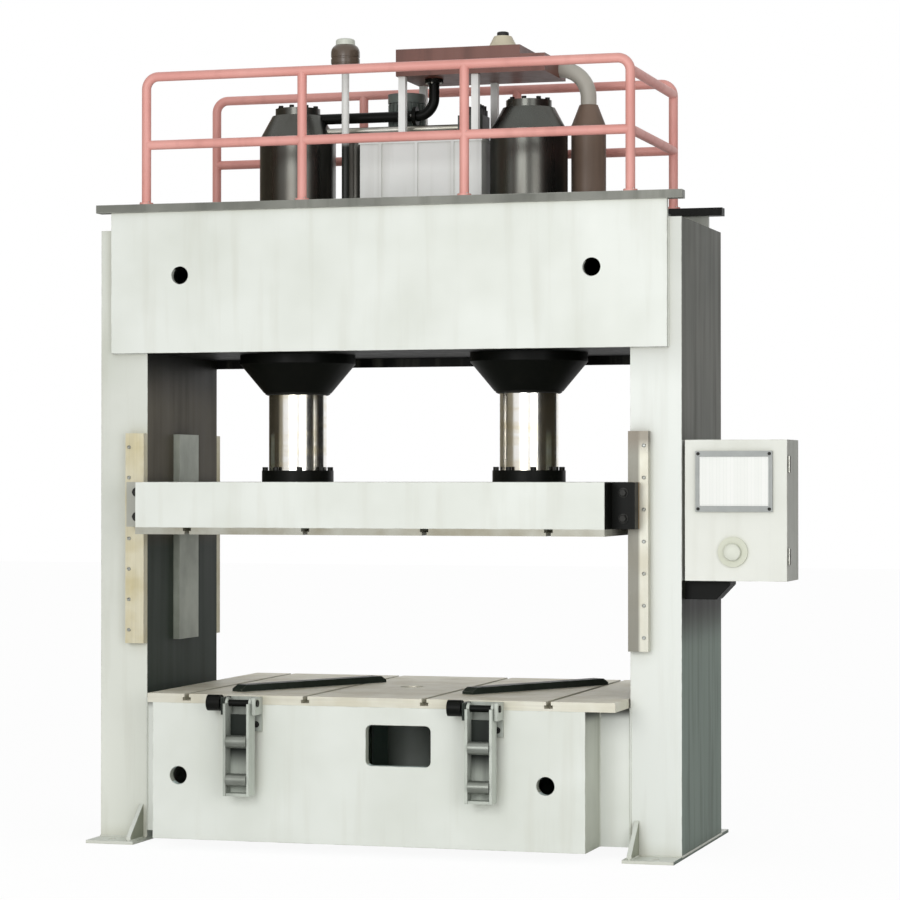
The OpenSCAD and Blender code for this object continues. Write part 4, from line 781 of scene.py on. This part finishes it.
# Bolts in the slide's shoes
SHOE_BOLT_INSET, SHOE_BOLT_HEIGHTS = 0.05, (0.045, 0.155)
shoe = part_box("guide_shoes")
grow("shoe_bolts", "slide", "black_paint", bolt_steel, HEX,
     spots([((sx * (shoe[1][0] - SHOE_BOLT_INSET), sy * shoe[1][1], shoe[0][2] + z), out)
            for sx, sy, out in CORNERS for z in SHOE_BOLT_HEIGHTS]),
     head_radius=0.017, head_height=0.014, washer_height=0.004)

# Cap screws on the filling valves
CAP_RING, CAP_COUNT = 0.086, 8
cap_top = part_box("filling_valves")[1][2]
grow("valve_cap_screws", "frame", "cast_metal", bolt_steel, SOCKET,
     spots([p for sx in SIDES for p in ring_of((sx * CYL_X, 0, cap_top), CAP_RING, CAP_COUNT, UP)]),
     head_radius=0.011, head_height=0.012, socket_radius=0.006, socket_depth=0.007)

# Bolts along the oil tank's lid, clear of the fill tank's legs, and round the motor's foot
LID_COUNT, LID_PITCH, LID_FIRST, LID_MARGIN = 10, 0.0592, 0.02, 0.014
LEG_OUT, LEG_IN = 0.012, 0.044
FOOT_RING, FOOT_COUNT, FOOT_HEIGHT = 0.076, 8, 0.014
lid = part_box("oil_tank")
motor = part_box("pump_motor")
motor_mid = middle("pump_motor")
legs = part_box("tank_legs")
lid_rows = [(lid[0][0] + LID_FIRST + LID_PITCH * i, y)
            for y in (lid[0][1] + LID_MARGIN, lid[1][1] - LID_MARGIN) for i in range(LID_COUNT)]
leg_spans = [(legs[0][0] - LEG_OUT, legs[0][0] + LEG_IN), (legs[1][0] - LEG_IN, legs[1][0] + LEG_OUT)]
grow("tank_lid_bolts", "frame", "tank_paint", zinc, HEX,
     spots([((x, y, motor[0][2]), UP) for x, y in lid_rows
            if not any(a < x < b for a, b in leg_spans)]),
     head_radius=0.007, head_height=0.006, washer_height=0.0015)
grow("motor_foot_bolts", "frame", "dark_paint", zinc, HEX,
     spots(ring_of((motor_mid[0], motor_mid[1], motor[0][2] + FOOT_HEIGHT), FOOT_RING, FOOT_COUNT,
                   UP, math.pi / FOOT_COUNT)),
     head_radius=0.0065, head_height=0.006, washer_height=0.0015)

# Bolts in the left suction pipe's two flanges
FLANGE_RING, FLANGE_COUNT = 0.0335, 4
PIPE_FLANGE_HALF, PIPE_FLANGE_THICK, ELBOW_REACH, PIPE_RUN_Z = 0.042, 0.017, 0.097, 3.279
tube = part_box("left_suction_pipe")
riser_x = tube[1][0] - PIPE_FLANGE_HALF
grow("pipe_flange_bolts", "frame", "black_paint", zinc, HEX,
     spots(ring_of((riser_x, 0, tube[1][2] - PIPE_FLANGE_THICK), FLANGE_RING, FLANGE_COUNT, DOWN,
                   math.pi / FLANGE_COUNT)
           + ring_of((riser_x - ELBOW_REACH, 0, PIPE_RUN_Z), FLANGE_RING, FLANGE_COUNT, LEFT,
                     math.pi / FLANGE_COUNT)),
     head_radius=0.006, head_height=0.005, washer_height=0.001)

# Screws in the railing posts' feet
POST_X, MID_POST_X = 1.118, 0.375
POST_FOOT_HALF, POST_FOOT_THICK, POST_RING, POST_COUNT, POST_TURN = 0.031, 0.008, 0.0262, 3, 0.5
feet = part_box("railing_posts")
grow("post_foot_screws", "frame", "red_paint", zinc, HEX,
     spots([p for x in (-POST_X, -MID_POST_X, MID_POST_X, POST_X)
            for y in (feet[0][1] + POST_FOOT_HALF, feet[1][1] - POST_FOOT_HALF)
            for p in ring_of((x, y, feet[0][2] + POST_FOOT_THICK), POST_RING, POST_COUNT, UP,
                             POST_TURN)]),
     head_radius=0.0036, head_height=0.003, washer_height=0.0006)

# Bolts in the arm brackets
BRACKET_THICK, BRACKET_BOLT_UP, BRACKET_BOLT_OUT = 0.014, 0.03, 0.055
bed_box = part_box("bed")
bracket_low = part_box("arm_brackets")[0][2]
grow("bracket_bolts", "frame", "dark_paint", bolt_steel, HEX,
     spots([((sx * ARM_X + dx, bed_box[0][1] - BRACKET_THICK, bracket_low + BRACKET_BOLT_UP), FRONT)
            for sx in SIDES for dx in (-BRACKET_BOLT_OUT, BRACKET_BOLT_OUT)]),
     head_radius=0.011, head_height=0.009, washer_height=0.002)

# Screws in the display's frame
DISPLAY_INSET = 0.012
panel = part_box("display_frame")
grow("display_screws", "control_door", "machined_steel", bolt_steel, SOCKET,
     spots([((x, panel[0][1], z), FRONT)
            for x in (panel[0][0] + DISPLAY_INSET, panel[1][0] - DISPLAY_INSET)
            for z in (panel[0][2] + DISPLAY_INSET, panel[1][2] - DISPLAY_INSET)]),
     head_radius=0.007, head_height=0.003, socket_radius=0.004, socket_depth=0.002)

# Welds of crown, bed, sole plates and stiffeners to the uprights
UP_X0, UP_X1, UP_Y, UP_TOP = 1.115, 1.340, 0.435, 2.753
CROWN_Z, BED_X = 2.195, 0.98
GUSSET_SIDES, GUSSET_DEPTH = (1.133, 1.153), 0.15
sole_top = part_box("sole_plates")[1][2]
crown_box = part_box("crown_covers")
COVER_X = crown_box[1][0]
seams = []
for sx in SIDES:
    for sy in SIDES:
        y = sy * UP_Y
        low = CROWN_Z if sy < 0 else crown_box[0][2]
        seams += [((sx * COVER_X, y, low), (sx * COVER_X, y, UP_TOP)),
                  ((sx * UP_X0, y, low), (sx * COVER_X, y, low)),
                  ((sx * UP_X0, y, sole_top), (sx * UP_X1, y, sole_top)),
                  ((sx * UP_X0, y, bed_box[0][2]), (sx * UP_X0, y, bed_box[1][2])),
                  ((sx * BED_X, y, bed_box[0][2]), (sx * BED_X, y, bed_box[1][2]))]
        for side in GUSSET_SIDES:
            seams.append(((sx * side, y, sole_top), (sx * side, y + sy * GUSSET_DEPTH, sole_top)))
    seams.append(((sx * UP_X1, -UP_Y, sole_top), (sx * UP_X1, UP_Y, sole_top)))
grow("frame_welds", "frame", "light_paint", light, WELD, runs_of(seams), bead_radius=0.005,
     ripple_length=0.014, ripple_depth=0.16)

# Tread on the deck plate, clear of the drums
PITCH, DRUM_CLEAR, SUNK, SLANT = 0.055, 0.235, 0.0005, 0.7071
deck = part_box("deck_plate")
tread = []
for i in range(int((deck[1][0] - deck[0][0]) / PITCH) - 1):
    for j in range(int((deck[1][1] - deck[0][1]) / PITCH) - 1):
        x, y = deck[0][0] + (i + 1) * PITCH, deck[0][1] + (j + 1) * PITCH
        if min(math.hypot(x - CYL_X, y), math.hypot(x + CYL_X, y)) > DRUM_CLEAR:
            way = 1.0 if (i + j) % 2 else -1.0
            tread.append(((x, y, deck[1][2] + SUNK), (SLANT, SLANT * way, 0.0)))
grow("deck_tread", "frame", "dark_paint", deck_grey, TREAD, spots(tread), length=0.017, width=0.005,
     height=0.0022)


# Turned and moulded pieces

SHARP = math.radians(28)
MERGE = 1e-6


def turned_piece(name, profile, foot, out, body, finishes, steps=56):
    """A closed turned shape: radius and height in millimetres and a finish for each band."""
    shape = bmesh.new()
    axis = Vector(out)
    side = axis.orthogonal().normalized()
    other = axis.cross(side)
    turns = [2 * math.pi * k / steps for k in range(steps)]
    rows = []
    for radius, height, band in profile:
        centre = Vector(foot) + axis * (height / 1000.0)
        if radius == 0.0:
            rows.append([shape.verts.new(centre)])
            continue
        rows.append([shape.verts.new(centre + radius / 1000.0
                                     * (math.cos(t) * side + math.sin(t) * other)) for t in turns])
    for one, two, (radius, height, band) in zip(rows, rows[1:], profile):
        for k in range(steps):
            ring = [one[k % len(one)], one[(k + 1) % len(one)],
                    two[(k + 1) % len(two)], two[k % len(two)]]
            made = shape.faces.new(list(dict.fromkeys(ring)))
            made.material_index = band
            made.smooth = True
    bmesh.ops.remove_doubles(shape, verts=shape.verts, dist=MERGE)
    bmesh.ops.recalc_face_normals(shape, faces=shape.faces)
    for edge in shape.edges:
        edge.smooth = edge.calc_face_angle(0.0) < SHARP
    mesh = bpy.data.meshes.new(name)
    shape.to_mesh(mesh)
    shape.free()
    for finish in finishes:
        mesh.materials.append(finish)
    piece = bpy.data.objects.new(name, mesh)
    scene.collection.objects.link(piece)
    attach(piece, body)
    return piece


# Signal lamp: a dark body with two grooves under a pale cap
LAMP_RADIUS, GROOVE_LOWS = 65.5, (24, 52)
GROOVE_STEPS = ((0, 0), (2.5, 2), (2.5, 7), (0, 9))
lamp_mid, lamp_low = middle("lamp"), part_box("lamp")[0][2]
grooves = [(LAMP_RADIUS - dent, low + step, 0) for low in GROOVE_LOWS for dent, step in GROOVE_STEPS]
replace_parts(turned_piece("signal_lamp", [
    (0, 0, 0), (54, 0, 0), (60, 3, 0), (LAMP_RADIUS, 8, 0)] + grooves + [
    (LAMP_RADIUS, 84, 0), (63, 96, 0), (57, 107, 0), (49, 114, 0), (44, 117, 1), (43.5, 136, 1),
    (40, 142, 1), (30, 145.5, 1), (0, 146, 1)],
    (lamp_mid[0], lamp_mid[1], lamp_low), UP, "frame", [lamp_dark, lamp_pale]), "lamp")

# Filler breather: a ribbed cone with a black plug
RIBS, CONE_WIDE, CONE_TAPER, CONE_FOOT, CONE_RISE = 5, 70, 30, 9, 58
RIB_STEPS = ((0, 0), (1, 5), (3.5, 6), (4.5, 10))
cone_mid, cone_low = middle("breather"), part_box("breather")[0][2]
ribs = [(CONE_WIDE - CONE_TAPER * t / RIBS - dent, CONE_FOOT + CONE_RISE * t / RIBS + step, 0)
        for t in range(RIBS) for dent, step in RIB_STEPS]
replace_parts(turned_piece("filler_breather", [
    (0, 0, 0), (60, 0, 0), (60, 6, 0), (68, 6, 0)] + ribs + [
    (40, 67, 0), (38, 68, 1), (27, 68, 1), (27, 82, 1), (25, 86, 1), (20, 88, 1), (0, 88, 1)],
    (cone_mid[0], cone_mid[1], cone_low), UP, "frame", [beige, rubber]), "breather")

# Stop button: a shallow mushroom on a stem
knob = middle("stop_button")
door_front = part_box("control_door")[0][1]
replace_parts(turned_piece("stop_mushroom", [
    (0, 5.6, 0), (15.8, 5.6, 0), (15.8, 18, 0), (30, 18.4, 0), (36, 20, 0), (37, 23, 0),
    (36.4, 27, 0), (33, 31.5, 0), (27, 34, 0), (15, 35.6, 0), (0, 36, 0)],
    (knob[0], door_front, knob[2]), FRONT, "stop_button", [stop_grey]),
    "stop_button")

# Wipers: a rubber lip in a steel shell under each gland
gland_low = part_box("glands")[0][2]
for label, x in (("left", -CYL_X), ("right", CYL_X)):
    turned_piece(label + "_wiper", [
        (134, 0, 0), (134, -9, 0), (140, -11, 0), (149, -6, 1), (151, 0, 1), (134, 0, 1)],
        (x, 0, gland_low), UP, "frame", [rubber, bolt_steel], 72)


# Camera, light and floor

# A standing viewer to the right of the front: place in metres, tilt and turn in degrees
EYE = (3.911, -12.6777, 1.6305)
TILT, TURN = 90.56, 16.40
FOCAL_PX, FRAME_PX, SENSOR = 2917.65, 900.0, 36.0
camera = bpy.data.cameras.new("photo camera")
camera.sensor_width = SENSOR
camera.lens = FOCAL_PX / FRAME_PX * SENSOR
camera.clip_end = 200.0
eye = bpy.data.objects.new("photo camera", camera)
eye.location = EYE
eye.rotation_euler = (math.radians(TILT), 0.0, math.radians(TURN))
scene.collection.objects.link(eye)
scene.camera = eye
scene.view_settings.view_transform = "Standard"


def lamp(name, place, aim, size, power):
    """A soft square studio lamp aimed at a point."""
    made = bpy.data.lights.new(name, "AREA")
    made.shape = "SQUARE"
    made.size = size
    made.energy = power
    stand = bpy.data.objects.new(name, made)
    stand.location = place
    stand.rotation_euler = (Vector(aim) - Vector(place)).to_track_quat("-Z", "Y").to_euler()
    scene.collection.objects.link(stand)


lamp("key lamp", (-0.6, -11.0, 3.6), aim=(0.0, 0.0, 1.7), size=4.5, power=350.0)
lamp("fill lamp", (6.5, -8.5, 2.4), aim=(0.3, 0.0, 0.9), size=4.0, power=165.0)

# White room: full white where it is seen or mirrored, and a plain level of light elsewhere
ROOM_LIGHT, ROOM_SEEN = 0.52, 1.0
room = bpy.data.worlds.new("studio")
room.use_nodes = True
scene.world = room
room_tree = room.node_tree
rays = add(room_tree, "ShaderNodeLightPath").outputs
seen = add(room_tree, "ShaderNodeMath", {0: rays["Is Camera Ray"], 1: rays["Is Glossy Ray"]},
           operation="MAXIMUM")
seen = add(room_tree, "ShaderNodeMath", {0: seen.outputs[0], 1: rays["Is Transmission Ray"]},
           operation="MAXIMUM")
level = add(room_tree, "ShaderNodeMapRange",
            {"Value": seen.outputs[0], "To Min": ROOM_LIGHT, "To Max": ROOM_SEEN})
sky = room_tree.nodes["Background"]
sky.inputs["Color"].default_value = lin("#FFFFFF")
room_tree.links.new(level.outputs[0], sky.inputs["Strength"])

# White floor: it glows to the camera, and keeps the machine's shadow
FLOOR_HALF, FLOOR_GLOW, GLOW_PART = 40, 1.035, 0.9
ground = bpy.data.meshes.new("floor")
ground.from_pydata([(-FLOOR_HALF, -FLOOR_HALF, 0), (FLOOR_HALF, -FLOOR_HALF, 0),
                    (FLOOR_HALF, FLOOR_HALF, 0), (-FLOOR_HALF, FLOOR_HALF, 0)], [], [(0, 1, 2, 3)])
floor = bpy.data.objects.new("floor", ground)
scene.collection.objects.link(floor)
pale = bpy.data.materials.new("white floor")
pale.use_nodes = True
pale_tree = pale.node_tree
matt = pale_tree.nodes["Principled BSDF"]
matt.inputs["Base Color"].default_value = lin("#F3F3F3")
matt.inputs["Roughness"].default_value = 0.9
glow = add(pale_tree, "ShaderNodeEmission", {"Strength": FLOOR_GLOW})
path = add(pale_tree, "ShaderNodeLightPath")
part = add(pale_tree, "ShaderNodeMath", {0: path.outputs["Is Camera Ray"], 1: GLOW_PART},
           operation="MULTIPLY")
blend = add(pale_tree, "ShaderNodeMixShader",
            {0: part.outputs[0], 1: matt.outputs[0], 2: glow.outputs[0]})
pale_tree.links.new(blend.outputs[0], pale_tree.nodes["Material Output"].inputs["Surface"])
ground.materials.append(pale)

# Cloth cards on both sides, seen only in reflections, give chrome and gloss their dark edges
CARD_BACK, CARD_LOW, CARD_TOP = 7.0, 0.1, 6.0
for label, x, y, tone in (("right", 4.5, -3.8, "#191919"), ("left", -4.5, -4.5, "#958E7C")):
    card_mesh = bpy.data.meshes.new(label + " card")
    card_mesh.from_pydata([(x, y, CARD_LOW), (x, CARD_BACK, CARD_LOW), (x, CARD_BACK, CARD_TOP),
                           (x, y, CARD_TOP)], [], [(0, 1, 2, 3)])
    cloth = bpy.data.materials.new(label + " card cloth")
    cloth.use_nodes = True
    weave = cloth.node_tree.nodes["Principled BSDF"]
    weave.inputs["Base Color"].default_value = lin(tone)
    weave.inputs["Roughness"].default_value = 1.0
    card_mesh.materials.append(cloth)
    card = bpy.data.objects.new(label + "_card", card_mesh)
    scene.collection.objects.link(card)
    card.visible_camera = False
    card.visible_diffuse = False
    card.visible_shadow = False
    card.visible_transmission = False
